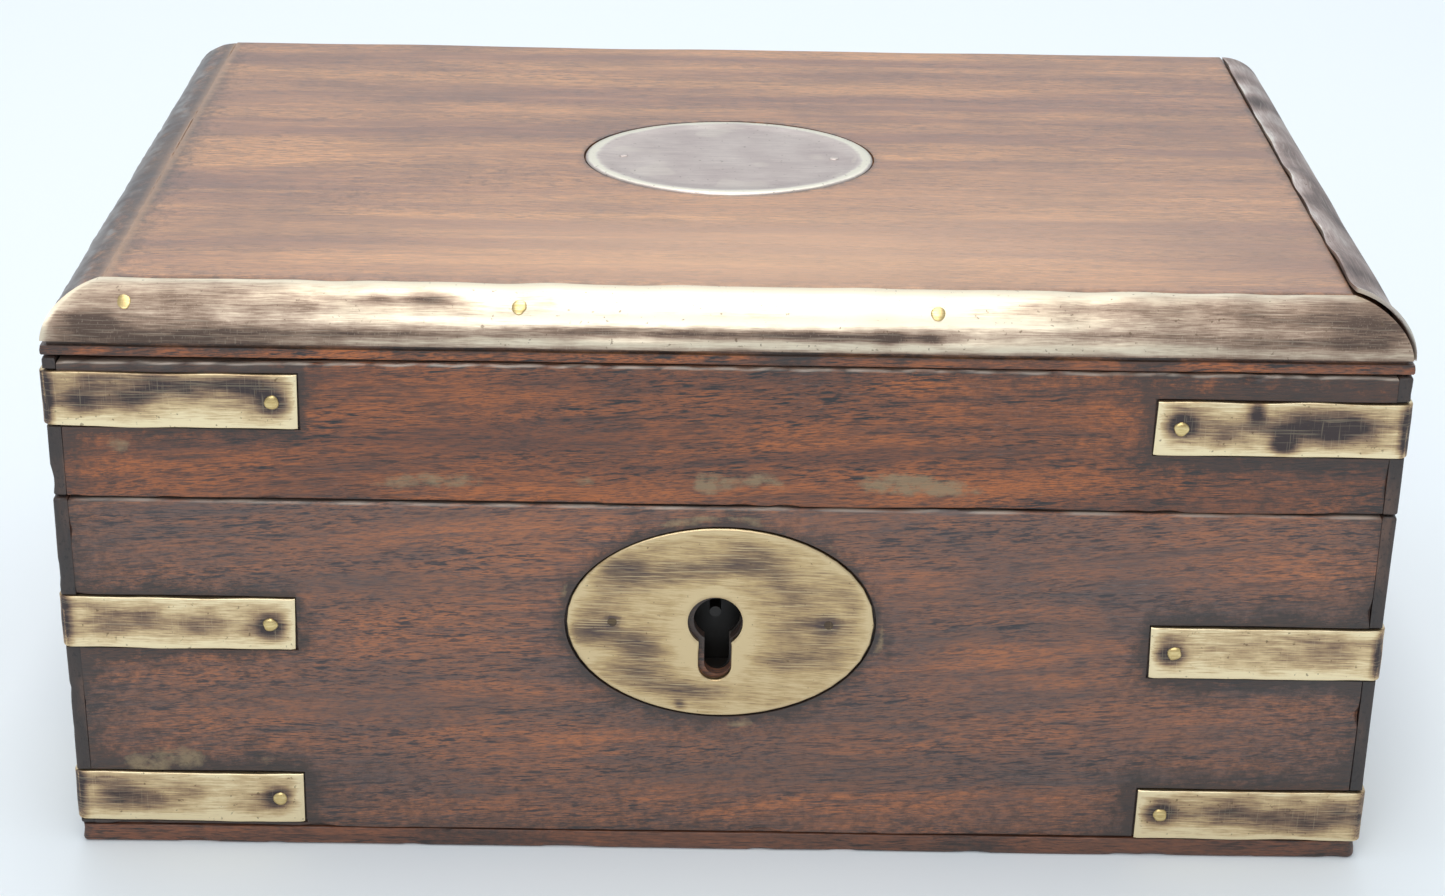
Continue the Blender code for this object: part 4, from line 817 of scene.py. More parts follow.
def add_base_front():
    """The front board, cut for the straps, the escutcheon, the keyhole, the lock and the partition."""
    node = "base_front_board"
    piece = front_or_back("base_front", node, -1, False, (0.3 * MM, 0.55 * MM))
    lock_low, lock_high = corners_of("lock_plate")
    low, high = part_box("partition")
    seat = low.x - GAP, low.y - GAP, low.z - FAR
    hole = keyhole_outline(0.55 * MM) + [0.35 * MM, -0.1 * MM]
    cut_out(
        piece,
        *strap_cutters(False, "front"),
        pushed(oval_ring("escutcheon", 1, GAP), 1, FRONT - FAR, FRONT + 1.1 * MM),
        pushed(hole, 1, FRONT - FAR, FRONT + 3 * FAR),
        box_cutter(lock_low - GAP, lock_high + [GAP, FAR, FAR]),
        box_cutter(seat, (high.x + GAP, FRONT + 3 * FAR, lock_low[2] - 4.7 * MM)),
    )
    handle(piece, node, 3)
    soil(piece, node, False)
    points = points_of(piece)
    arris = line_at(points[:, 2] - RIM + 0.18 * MM, 0.17 * MM) * (points[:, 1] < FRONT + 1.5 * MM)
    carry(piece, "rubbed", 0.85 * arris * np.clip(0.55 + 0.45 * waves(points[:, :1], 12 * MM, 5), 0, 1))
    crusts = [
        (-92, 14, 5, 4, 1.0), (-84, 16, 5, 3, 0.9), (-72, 15.5, 4, 2, 0.7), (-66, 37, 4, 3, 0.7),
        (-90, 46, 4, 3, 0.6), (-70, 49, 5, 3, 0.6), (3, 2, 4, 2, 0.8), (-88, 3.5, 6, 1.6, 0.6),
    ]
    caked = line_at(near_oval(points, "escutcheon", 1) - 1.5 * MM, 1.1 * MM)
    caked = caked * np.clip(0.5 + 0.4 * waves(points, 9 * MM, 8), 0, 1)
    carry(piece, "crust", blots(points[:, 0], points[:, 2], crusts) + caked)


def split_gap(points):
    """How far the joint under the top board has opened: about 0.7 mm at the left, closing to the right."""
    x = points[:, 0]
    opened = 0.55 * MM / (1 + np.exp((x + 66 * MM) / (12 * MM)))
    chips = 0.10 * MM * np.clip(waves(points[:, :1], 9 * MM, 71), 0, 2)
    return opened + chips


def add_lid_front():
    """The lid's front board, let down where the joint over it has opened, with a pale chipped edge."""
    node = "lid_front_rail"
    piece = front_or_back("lid_front", node, -1, True, (0.35 * MM, 0.5 * MM))
    low, high = corners_of("link_plate")
    cut_out(piece, *strap_cutters(True, "front"), box_cutter(low * [1, 1, 0] - GAP, high + GAP))
    handle(piece, node, 13)
    points = points_of(piece)
    near_top = np.clip(1 - np.abs(points[:, 2] - LID_SHOULDER) / (3 * MM), 0, 1)
    points[:, 2] -= near_top * split_gap(points)
    move_points(piece, points)
    soil(piece, node, True)
    points = points_of(piece)
    chipped = LID_SHOULDER - split_gap(points) - 0.15 * MM
    arris = line_at(points[:, 2] - chipped, 0.17 * MM) * (points[:, 1] < FRONT + 1.2 * MM)
    carry(piece, "rubbed", 0.95 * arris * np.clip(0.75 + 0.4 * waves(points[:, :1], 6 * MM, 6), 0, 1))
    crusts = [
        (-42, 65, 8, 2.4, 0.9), (-22, 65, 4, 2, 0.8), (-3, 65, 3, 2.6, 1.0), (5, 65.5, 7, 2.2, 1.0),
        (26, 65.5, 8, 2.4, 1.1), (35, 64.5, 6, 2, 0.8), (47, 64, 6, 2, 0.6), (-92, 70, 3, 2.4, 0.9),
        (-78, 69, 2, 2, 0.6), (-52, 64, 5, 2, 0.6), (60, 66, 3, 2, 0.5), (55, 72, 3, 3, 0.6),
        (58, 79, 3, 2, 0.6),
    ]
    carry(piece, "crust", blots(points[:, 0], points[:, 2], crusts))


def add_backs():
    """The back boards: bevelled where they meet, so that the lid can swing, and cut for the hinges."""
    for name, node, on_lid, direction, seed, arris in (
        ("base_back", "base_back_board", False, -1, 23, (0.3 * MM, 0.2 * MM)),
        ("lid_back", "lid_back_rail", True, 1, 33, (0.3 * MM, 0.5 * MM)),
    ):
        piece = front_or_back(name, node, 1, on_lid, arris)
        cutters = [*strap_cutters(on_lid, "back"), rim_bevel(direction), *hinge_cutters(direction)]
        if not on_lid:
            low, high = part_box("partition")
            seat = low.x - GAP, BACK - 3 * FAR, low.z - FAR
            cutters.append(box_cutter(seat, (high.x + GAP, high.y + GAP, high.z + GAP)))
        cut_out(piece, *cutters)
        handle(piece, node, seed)
        soil(piece, node, on_lid)


def add_sides():
    for side, word in ((-1, "left"), (1, "right")):
        for name, node, on_lid, seed in (
            (f"base_{word}", f"base_{word}_board", False, 43),
            (f"lid_{word}", f"lid_{word}_rail", True, 53),
        ):
            piece = side_board(name, node, side, on_lid)
            cut_out(piece, *strap_cutters(on_lid, word), rim_bevel(1 if on_lid else -1))
            handle(piece, node, seed + side, 0.06 * MM)
            mark_end_grain(piece)
            soil(piece, node, on_lid)


def add_bottom():
    """The thin board planted underneath, its corners worn round by different amounts."""
    node = "bottom_board"
    rounding = [0.8 * MM, 1.6 * MM, 1.2 * MM, 1.0 * MM]
    corners, arris = rectangle(*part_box(node)), (0.7 * MM, 0.15 * MM)
    piece = stand_board(
        "bottom", node, corners, rounding, [FINE] * 4, arris, BOTTOM_WOOD, "base", 1.0 * MM
    )
    handle(piece, node, 63, 0.05 * MM, 0.5 * MM)
    points = points_of(piece)
    ends = fading(WIDTH / 2 - np.abs(points[:, 0]), 5 * MM)
    carry(piece, "grime_and_shade", 0.25 + 0.2 * waves(points, 18 * MM, 64) + 0.3 * ends)


# ---------------------------------------------------------------- the top board and its edge strips


def add_top_board():
    """Three-sided rings that follow the round edge, and a grid of points over the flat."""
    low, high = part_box("lid_top_board")
    core = ROUND - STRIP - GAP
    profile = np.concatenate([
        [(0.5 * MM, low.z), (0.15 * MM, low.z + 0.12 * MM), (0, low.z + 0.4 * MM), (0, low.z + 1.0 * MM)],
        [(0.1 * MM, LIP)],
        arc((ROUND, LIP), core, 180, 90, 12),
        [(ROUND + GAP, LIP + core), (ROUND + GAP, high.z - 0.25 * MM), (ROUND + 0.7 * MM, high.z)],
    ])
    across, back = np.linspace(0, 1, 164), np.linspace(0, 1, 108)
    inset, level = profile[:, :1], profile[:, 1:]
    to_right = np.concatenate([np.zeros(len(back)), across[1:-1], np.ones(len(back))])
    to_back = np.concatenate([back[::-1], np.zeros(len(across) - 2), back])
    x = (LEFT + inset) + (WIDTH - 2 * inset) * to_right
    y = (FRONT + inset) + (DEPTH - inset) * to_back
    rings = np.stack([x, y, np.broadcast_to(level, x.shape)], axis=2)
    rows, count = rings.shape[:2]
    last = profile[-1][0]
    flat_x = LEFT + last + (WIDTH - 2 * last) * across
    flat_y = FRONT + last + (DEPTH - last) * back
    grid = np.stack([*np.meshgrid(flat_x, flat_y), np.full((len(back), len(across)), high.z)], axis=2)
    points = np.concatenate([rings.reshape(-1, 3), grid.reshape(-1, 3)])
    start = rows * count
    faces = np.concatenate([lattice(rows, count), lattice(len(back), len(across)) + start])
    left_back = np.arange(rows) * count
    back_row = start + (len(back) - 1) * len(across) + np.arange(len(across))
    right_back = (left_back + count - 1)[::-1]
    caps = (np.arange(count), np.concatenate([left_back, back_row, right_back]))
    piece = make("lid_top", points, faces, TOP_WOOD, "lid", ("lid_top_board",), caps)
    cut_out(piece, pushed(oval_ring("lid_plaque", 2, GAP), 2, LID_TOP - 1.1 * MM, LID_TOP + FAR))
    fill_left_round(piece)
    wear_top_board(piece)


def fill_left_round(piece):
    """The left round has lost its strip: packed dirt and bare wood fill it almost to the old level.

    Its points move out along the round's own spokes. The flat has cupped a little, and the lip has worn wavy.
    """
    points = points_of(piece)
    centre = np.array([LEFT + ROUND, LIP])
    spoke = points[:, [0, 2]] - centre
    reach = np.linalg.norm(spoke, axis=1)
    short_of_mitre = points[:, 0] - LEFT < points[:, 1] - FRONT - 0.6 * MM
    on_round = (points[:, 2] > LIP + 0.05 * MM) & (reach < ROUND - 0.3 * MM) & (spoke[:, 0] <= 0.4 * MM)
    on_round = on_round & short_of_mitre & (points[:, 0] < LEFT + 9 * MM)
    rough = 0.05 * MM * waves(points, 2.6 * MM, 81) + 0.06 * MM * waves(points * [1, 0.25, 1], 6 * MM, 82)
    swell = np.where(on_round, (ROUND - 0.25 * MM + rough) / np.maximum(reach, MM), 1)
    points[:, [0, 2]] = centre + spoke * swell[:, None]
    points[:, 2] += np.where(points[:, 2] > LID_TOP - 0.2 * MM, 0.06 * MM * waves(points, 40 * MM, 83), 0)
    on_lip = (points[:, 2] < LIP + 0.1 * MM) & (points[:, 1] < FRONT + 2 * MM)
    points[:, 1] += np.where(on_lip, 0.05 * MM * waves(points, 12 * MM, 84), 0)
    move_points(piece, points)


def wear_top_board(piece):
    """Grime against the strips and the plaque, dirt on the bare round, and a paler flat."""
    points = points_of(piece)
    x, y, z = points.T
    on_flat = z > LID_TOP - 1.0 * MM
    rim = np.minimum(RIGHT - ROUND - x, y - FRONT - ROUND)
    rim = np.abs(np.minimum(rim, x - LEFT - ROUND))
    plaque = near_oval(points, "lid_plaque", 2)
    grime_and_shade = 0.55 * fading(rim, 1.1 * MM) + 0.22 * fading(rim, 7 * MM)
    grime_and_shade = grime_and_shade + 0.75 * fading(plaque, 0.5 * MM) + 0.25 * fading(plaque, 3 * MM)
    grime_and_shade = grime_and_shade + blots(x, y, [(-62, -22, 14, 10, 0.3), (-38, -12, 12, 12, 0.25), (-100, 0, 9, 90, 0.75)])
    bare = (z > LIP) & (x < LEFT + 9 * MM)
    edge = np.where(bare, 0.8, 0.22 + 0.2 * waves(points * [1, 0, 1], 15 * MM, 85))
    edge = edge + 0.6 * fading(np.abs(z - LIP - 0.1 * MM), 0.35 * MM) * (y < FRONT + 3 * MM)
    edge = edge + 0.5 * fading(x - LEFT, 10 * MM)
    edge = np.where(z < LIP - 1.55 * MM, 0, edge)
    carry(piece, "grime_and_shade", np.where(on_flat, grime_and_shade, edge))

    packed = line_at(x - LEFT - 4 * MM, 4.5 * MM) * (z > LIP + 0.8 * MM)
    carry(piece, "crust", packed * (0.72 + 0.12 * waves(points, 3 * MM, 86)))
    # a paler line along the step of the bare round, and a paler patch over the front of the flat
    step = fading(np.abs(x - LEFT - ROUND - 0.5 * MM), 0.4 * MM) * (z > LID_TOP - 0.8 * MM)
    worn = blots(x, y, [(4, -46, 62, 22, 0.46), (60, -20, 40, 26, 0.14)]) * (z > LID_TOP - 0.3 * MM)
    carry(piece, "rubbed", 0.6 * step + worn)

    mesh = piece.data
    centres = np.empty(len(mesh.polygons) * 3, np.float32)
    mesh.polygons.foreach_get("center", centres)
    mesh.materials.append(LID_WOOD)
    on_lip = centres.reshape(-1, 3)[:, 2] < LIP - 0.02 * MM
    mesh.polygons.foreach_set("material_index", on_lip.astype(np.int32))


def strip_section():
    """Section of an edge strip: the directions from the round's middle to its points, and their distances.

    The outer face comes first, from its lower edge to its upper one, and then the inner face, back again.
    """
    angles = np.radians(np.linspace(175, 90, 20))
    around = np.concatenate([angles, angles[::-1]])
    reach = np.repeat([ROUND, ROUND - STRIP], len(angles))
    out = np.stack([np.cos(around), np.sin(around)], axis=1)
    return out, reach


def add_front_strip():
    """The section is carried along the front edge, each point starting and ending on the mitre."""
    out, reach = strip_section()
    inset, rise = ROUND + reach * out[:, 0], reach * out[:, 1]
    count = len(inset)
    share = np.linspace(0, 1, 190)[:, None]
    x = (LEFT + inset) + (WIDTH - 2 * inset - GAP) * share
    waver = 0.05 * MM * waves(x.reshape(-1, 1), 14 * MM, 91).reshape(x.shape)
    waver += 0.10 * MM * waves(x.reshape(-1, 1), 40 * MM, 92).reshape(x.shape) * (rise < 2 * MM)
    y = FRONT + inset + waver * out[:, 0]
    z = LIP + rise + waver * out[:, 1]
    points = np.stack([x, y, z], axis=2).reshape(-1, 3)
    faces, caps = lattice(len(share), count, closed=True), end_caps(len(share), count)
    piece = make("front_strip", points, faces, EDGE_BRASS, "lid", ("front_edge_strip",), caps)

    x, y, z = points_of(piece).T
    around = np.degrees(np.arctan2(z - LIP, FRONT + ROUND - y))  # 0 low, 90 at the top
    # the last two spots darken the strip along its lower edge
    spots = [
        (-88, 52, 12, 26, 0.5), (-74, 60, 9, 14, 0.4), (-78, 26, 20, 10, 0.55), (-96, 26, 5, 16, 0.8),
        (-84, 10, 16, 9, 0.95), (-62, 46, 12, 7, 0.35), (-51, 56, 7, 6, 0.8), (-44, 60, 4, 9, 0.9),
        (-40, 52, 5, 5, 0.5), (-52, 17, 22, 5, 0.8), (-29, 60, 7, 12, 0.4), (-36, 40, 14, 4, 0.3),
        (-8, 24, 30, 5, 0.75), (14, 22, 16, 5, 0.6), (24, 20, 3, 7, 0.85), (30, 20, 2.4, 6, 0.8),
        (28, 33, 14, 5, 0.4), (52, 60, 10, 10, 0.45), (40, 52, 6, 6, 0.35), (60, 28, 18, 6, 0.6),
        (86, 22, 14, 8, 0.7), (76, 52, 22, 20, 0.62), (97, 45, 10, 36, 0.75), (-40, 4, 80, 4, 0.5),
        (60, 3, 50, 4, 0.7),
    ]
    carry(piece, "tarnish", 0.78 * blots(x, around * MM, spots))
    # bright on this strip: a line along the top edge, part rubbing and part painted highlight; painted
    # highlights on the cut mitre, in a band at 36 degrees and over the middle's upper part; and a painted
    # reflection in the line low down
    upper_edge = fading(np.abs(around - 88), 3.0) * np.clip(1.2 - (x - 60 * MM) / (40 * MM), 0, 1)
    mitre = fading(np.abs((x - LEFT) - (y - FRONT)), 0.6 * MM) * (x < 0)
    middle = 1 / (1 + np.exp((np.abs(x - 2 * MM) - 52 * MM) / (7 * MM)))
    band, low_reflection_line = line_at(around - 36, 5) * middle, line_at(around - 12, 2.8) * (0.25 + 0.75 * middle)
    # painted highlight: the upper part of the middle, where the lamp's highlight falls
    rubbed = middle * np.clip((around - 38) / 12, 0, 1)
    carry(piece, "bright", 0.55 * upper_edge + 0.8 * mitre + 0.5 * band + 0.45 * low_reflection_line + 0.35 * rubbed)


def add_right_strip():
    """The section is carried along the right edge. Its near end has sprung up, and its inner edge curls."""
    out, reach = strip_section()
    inset, rise = ROUND + reach * out[:, 0], reach * out[:, 1]
    count = len(inset)
    share = np.linspace(0, 1, 150)[:, None]
    y = (FRONT + inset + GAP) + (DEPTH - inset - GAP) * share
    flat = y.reshape(-1, 1)
    held = np.clip(rise / ROUND, 0, 1)
    lift = 1.25 * MM * held * fading(y - FRONT - inset, 5 * MM)
    lift += 0.07 * MM * held * (1 + waves(flat, 30 * MM, 95).reshape(y.shape))
    curl = np.clip((rise - 6.2 * MM) / (1.8 * MM), 0, 1)
    lift += curl * 0.12 * MM * np.clip(waves(flat, 19 * MM, 96).reshape(y.shape) + 0.5, 0, 2)
    edge = curl * 0.13 * MM * waves(flat, 15 * MM, 98).reshape(y.shape)
    x = RIGHT - inset - lift * out[:, 0] + edge
    z = LIP + rise + lift * out[:, 1]
    points = np.stack([x, y, z], axis=2).reshape(-1, 3)
    faces, caps = lattice(len(share), count, closed=True), end_caps(len(share), count)
    piece = make("right_strip", points, faces, DARK_BRASS, "lid", ("right_edge_strip",), caps)

    points = points_of(piece)
    x, y, z = points.T
    around = np.degrees(np.arctan2(z - LIP, x - RIGHT + ROUND))
    carry(piece, "tarnish", 0.25 + 0.25 * waves(points, 12 * MM, 97))
    from_end = np.abs(y - FRONT - GAP - ROUND * (1 - np.cos(np.radians(around))))
    # painted highlight on the sprung cut end, and a line along the top edge, part rubbing and part painted
    # highlight
    carry(piece, "bright", 1.2 * fading(from_end, 0.7 * MM) + 0.5 * fading(np.abs(around - 89), 2))


# ---------------------------------------------------------------- straps

# dark spots on the front legs: reach from the corner, height, half width, half height, strength
STRAP_SPOTS = {
    "lid_strap_front_left": [
        (5.6, 0.2, 4.2, 1.9, 0.7), (13.4, 0, 3.6, 1.7, 0.6), (10, 3.6, 13, 1.7, 0.4), (22, 2.2, 9, 2.2, 0.5),
        (32, 2.6, 5, 2, 0.5), (0.4, 0, 0.8, 5, 0.7),
    ],
    "base_upper_strap_front_left": [
        (6.5, 0.2, 3.8, 2.6, 0.6), (12.4, 0.6, 3.2, 2.2, 0.55), (21, -0.2, 5.4, 2.0, 0.62),
        (0.4, 0.5, 0.9, 5, 0.6), (32, 0.3, 4, 3, 0.3), (3, 3.4, 5, 1, 0.3),
    ],
    "base_lower_strap_front_left": [
        (6.2, 0.1, 4.8, 2.6, 0.78), (11.5, -0.6, 4.2, 1.8, 0.5), (17.5, 1.4, 4, 2.4, 0.3),
        (29, 0, 3.2, 2, 0.3), (0.4, 1, 1, 4, 0.6), (4, 3.4, 7, 1.1, 0.5),
    ],
    "lid_strap_front_right": [
        (27, 0, 4.2, 2.4, 0.45), (23, 3.2, 1.3, 2.2, 0.75), (18.6, -2.3, 1.9, 1.7, 0.95),
        (19, 0.6, 4, 2.6, 0.4), (8.5, 0.2, 5.2, 2.4, 0.75), (14, 1, 5, 3, 0.5), (0.4, -1, 0.7, 4, 0.6),
        (34, 2, 3, 3, 0.35),
    ],
    "base_upper_strap_front_right": [
        (7.6, 0.4, 4.6, 2.2, 0.5), (15, -0.4, 3.6, 1.7, 0.3), (24, 0.6, 7, 2.4, 0.12),
        (0.5, -0.4, 0.7, 3, 0.8), (12, 3.2, 9, 1.4, 0.35), (34, 1.5, 3, 3, 0.35),
    ],
    "base_lower_strap_front_right": [
        (21, 0.2, 5.2, 2.2, 0.8), (14.5, -0.4, 3.4, 1.7, 0.55), (7.6, -0.8, 5.8, 2.6, 0.75),
        (3, 1.4, 3, 1.8, 0.5), (31, 0, 4.2, 1.6, 0.4), (20, 3.2, 12, 1.2, 0.3),
    ],
}


def strap_path(leg):
    """Places and outward directions along a strap, in its corner's own frame, and the length up to each.

    It runs along +Y's face to the corner, round a bend, and back along +X's face.
    """
    bend, steps = 1.6 * MM, 52
    centre = PROUD - bend
    turn = np.radians(np.linspace(90, 0, 9))
    circle = np.stack([np.cos(turn), np.sin(turn)], 1)
    straight, level = np.linspace(-leg, centre, steps), np.full(steps, PROUD)
    plan = np.concatenate([
        np.stack([straight, level], 1)[:-1], centre + bend * circle, np.stack([level, straight[::-1]], 1)[1:],
    ])
    across, beside = np.tile([0.0, 1.0], (steps - 1, 1)), np.tile([1.0, 0.0], (steps - 1, 1))
    facing = np.concatenate([across, circle, beside])
    length = np.concatenate([[0], np.cumsum(np.linalg.norm(np.diff(plan, axis=0), axis=1))])
    return plan, facing, length


def add_strap(node):
    """A rectangle of sheet with rounded edges, carried along one leg, round the bend and along the other."""
    low, high = corners_of(node)
    x_side, y_side = np.sign(low[:2] + high[:2])
    corner = np.array([x_side * (WIDTH / 2), y_side * (DEPTH / 2)])
    leg, seed = high[0] - low[0] - PROUD, sum(ord(letter) for letter in node)
    plan, facing, length = strap_path(leg)

    # the section: up is the height over its middle, and depth how far a point lies under the face
    half, edge = (high[2] - low[2]) / 2, 0.22 * MM
    rounds = np.radians(np.linspace(0, 90, 4))
    rising, falling = edge * np.sin(rounds[1:]), edge * np.sin(rounds[:0:-1])
    face = np.linspace(-half + edge, half - edge, 15)
    up = np.concatenate([face, half - edge + rising, [half, -half], -half + edge - falling])
    depth = [np.zeros(15), edge - edge * np.cos(rounds[1:]), [SHEET] * 2, edge - edge * np.cos(rounds[:0:-1])]
    depth = np.concatenate(depth)

    to_end = length[-1] - length
    end_round = 0.2 * MM * (1 - np.clip(np.minimum(length, to_end) / (0.7 * MM), 0, 1)) ** 2
    slip = 0.04 * MM * waves(length[:, None], 25 * MM, seed)
    widen = 1 + 0.008 * waves(length[:, None], 14 * MM, seed + 1)
    down = depth[None, :] + end_round[:, None] * (depth[None, :] < SHEET / 2)
    rows, count = len(length), len(up)
    spot = plan[:, None, :] - facing[:, None, :] * down[:, :, None]
    height = slip[:, None] + up[None, :] * widen[:, None]
    # both ends are snipped a little out of square
    skew = 0.25 * MM * (np.random.default_rng(seed).uniform(-1, 1, 2))
    lean = np.clip(1 - length / leg, 0, 1) * skew[0] + np.clip(1 - to_end / leg, 0, 1) * skew[1]
    lean = lean[:, None] * (up[None, :] / half)
    inward = np.concatenate([np.ones(rows // 2), -np.ones(rows - rows // 2)])[:, None]
    spot = spot + np.stack([-facing[:, 1], facing[:, 0]], 1)[:, None, :] * (lean * inward)[:, :, None] * 0.6
    spread = np.stack([np.repeat(length, count), np.tile(up, rows)], 1)
    hammer = 0.02 * MM * waves(spread, 6 * MM, seed + 2).reshape(rows, count)
    spot = spot + facing[:, None, :] * (hammer * (down < SHEET / 2))[:, :, None]
    middle = (low[2] + high[2]) / 2
    x, y = (corner + [x_side, y_side] * spot).transpose(2, 0, 1)
    points = np.stack([x, y, middle + height], axis=2)
    body, name = "lid" if node.startswith("lid") else "base", node.replace("strap", "band")
    faces, caps = lattice(rows, count, closed=True), end_caps(rows, count)
    piece = make(name, points, faces, STRAP_BRASS, body, (node,), caps)
    tarnish_strap(piece, node, corner, middle, half, leg, seed)


def tarnish_strap(piece, node, corner, middle, half, leg, seed):
    """Dark spots, a dark bend and a dark ring round each pin. The edges and the ends are rubbed bright."""
    points = points_of(piece)
    from_corner = np.abs(np.abs(points[:, 0]) - WIDTH / 2)
    along_side = np.abs(points[:, 1] - corner[1])
    on_side = along_side > from_corner
    reach = np.where(on_side, along_side, from_corner)
    level = points[:, 2] - middle
    chance = np.random.default_rng(seed + 5)
    least, most = (3, -2.5, 3, 1.2, 0.2), (31, 2.5, 8, 2.6, 0.6)
    loose = chance.uniform(least, most, (5, 5))
    front = blots(reach, level, STRAP_SPOTS.get(node, loose))
    side = blots(reach, level, loose)
    off_centre = chance.uniform(-0.5, 0.5, 2) * MM
    pin = np.hypot((reach - leg + PIN_INSET - off_centre[0]) / 1.2, level - off_centre[1])
    ring = 0.7 * np.exp(-((pin / (1.9 * MM)) ** 3)) + 0.2 * line_at(pin, 3.2 * MM)
    strength = 1.25 if node.startswith("lid") else 0.85
    spots = strength * np.where(on_side, side, front)
    carry(piece, "tarnish", spots + ring + 0.45 * line_at(reach, 1.3 * MM))
    rim = fading(half + level, 0.9 * MM) + 0.5 * fading(half - level, 0.5 * MM)
    carry(piece, "bright", 0.5 * (rim + fading(np.abs(reach - leg), 1.1 * MM)))


# ---------------------------------------------------------------- plates, pins and knobs


def plate(name, node, flat, inner, outer, dish, material, body):
    """A flat plate between two outlines with as many points each: its face, outer edge, back and inner edge.

    An inner outline that is a single spot, repeated, gives a plate without a hole.
    """
    low, high = corners_of(node)
    face, toward = (low[flat], -1.0) if flat == 1 else (high[flat], 1.0)
    keep = [axis for axis in range(3) if axis != flat]
    share = np.concatenate([[0, 0.02], np.linspace(0.05, 0.93, 26), [0.96, 0.98, 0.993, 1.0]])
    holed = float(np.ptp(inner, axis=0).max() > 0)
    drops = np.array([0.22 * holed, 0.06 * holed, 0, 0, 0.03, 0.12, 0.3]) * MM
    fall = np.interp(share, [0, 0.02, 0.05, 0.96, 0.98, 0.993, 1.0], drops)
    fall = fall + dish * np.interp(share, [0, 0.80, 0.90, 1.0], [1, 1, 0, 0])
    rows, count = len(share), len(inner)
    rings = np.zeros((rows + 2, count, 3))
    rings[:rows, :, keep] = inner[None] + (outer - inner)[None] * share[:, None, None]
    rings[:rows, :, flat] = face - toward * fall[:, None]
    rings[rows][:, keep], rings[rows + 1][:, keep] = outer, inner
    rings[rows:, :, flat] = face - toward * 1.0 * MM
    faces = lattice(rows + 2, count, closed=True)
    closing = lattice(2, count, closed=True)
    closing = np.where(closing < count, closing + count * (rows + 1), closing - count)
    return make(name, rings, np.concatenate([faces, closing]), material, body, (node,))


def add_escutcheon():
    """The keyhole's plate: each point of the hole is joined to the oval's edge in the same direction."""
    hole = keyhole_outline()
    _, centre, radii = oval_of("escutcheon", 1)
    way = (hole - centre) / radii
    way /= np.linalg.norm(way, axis=1, keepdims=True)
    piece = plate("keyhole_plate", "escutcheon", 1, hole, centre + radii * way, 0, PLATE_BRASS, "base")
    x, _, z = points_of(piece).T
    dx, dz = x - centre[0], z - centre[1]
    spots = [
        (-4.9, 8.6, 6, 1.8, 0.7), (5.2, 12, 4, 2.6, 0.5), (3.9, 9.8, 5, 1.8, 0.45), (9.9, 7.9, 3, 1.8, 0.45),
        (-15.3, 9.5, 5, 3, 0.75), (-19.7, -1.7, 5, 1.8, 1.0), (-18, 4, 3, 3, 0.35), (-12.3, -4, 3.4, 3, 0.75),
        (-12, -8.6, 4, 2, 0.65), (-4.9, -11.7, 5, 1.6, 0.75), (-6.2, -14.4, 0.9, 0.9, 0.9),
        (12.6, -5.2, 7, 3.4, 0.55), (11.3, -0.2, 6, 1.2, 0.45), (-16.8, 0, 0.95, 0.95, 1.4),
        (16.8, 0, 2.0, 2.0, 0.9), (14, 5, 6, 1.6, 0.5), (20.5, 3, 1.5, 3, 0.4),
    ]
    carry(piece, "tarnish", 0.8 * blots(dx, dz, spots))
    away = np.hypot(x - KEYHOLE[0], (z - KEYHOLE[1] + 2 * MM) / 1.3)
    edge = np.abs(1 - np.hypot(dx / radii[0], dz / radii[1]))
    carry(piece, "bright", 0.45 * np.exp(-((away / (6.5 * MM)) ** 4)) + 0.55 * fading(edge, 0.03))


def add_plaque():
    """The blank plaque on the lid, dished a little, with a rubbed rim."""
    edge = oval_ring("lid_plaque", 2, 0)
    _, centre, radii = oval_of("lid_plaque", 2)
    middle = np.broadcast_to(centre, edge.shape)
    piece = plate("plaque", "lid_plaque", 2, middle, edge, 0.18 * MM, PLAQUE_BRASS, "lid")
    points = points_of(piece)
    share = np.linalg.norm((points[:, :2] - centre) / radii, axis=1)
    carry(piece, "tarnish", 0.1 + 0.06 * waves(points, 12 * MM, 101))
    carry(piece, "bright", 0.75 * line_at(share - 0.955, 0.035))


def turned(name, profile, spot, out, material, body, stands_for=(), sides=24, uneven=0.0, seed=0):
    """A profile of (radius, height) spun about an axis through a spot, closed at both ends on the axis."""
    radius, height = np.asarray(profile, float).T[:, :, None]
    angles = np.linspace(0, math.tau, sides, endpoint=False)
    circle = np.stack([np.cos(angles), np.sin(angles)], 1)
    radius = radius * (1 + uneven * waves(circle, 1.6, seed, 5)[None])
    height = np.broadcast_to(height, radius.shape)
    shape = np.stack([radius * circle[:, 0], radius * circle[:, 1], height], axis=2)
    turn = np.array(Vector(out).to_track_quat("Z", "Y").to_matrix())
    points = shape.reshape(-1, 3) @ turn.T + np.asarray(spot)
    return make(name, points, lattice(len(profile), sides, closed=True), material, body, stands_for)


def add_pin(name, head, dome, spot, out, material, body, label, stands_for=()):
    """A pin: its shank, the flat under the head's edge, and a hammered dome. label seeds its shape."""
    angles = np.radians(np.linspace(0, 90, 7))
    cap = np.stack([head * np.cos(angles), dome * np.sin(angles)], axis=1)
    cap[-1, 0] = 0
    shank = [(0, -2 * MM), (head * 0.8, -2 * MM), (head * 0.9, -0.3 * MM), (head, -0.1 * MM)]
    seed = sum(ord(letter) for letter in label)
    profile = np.concatenate([shank, cap])
    return turned(name, profile, spot, out, material, body, stands_for, uneven=0.05, seed=seed)


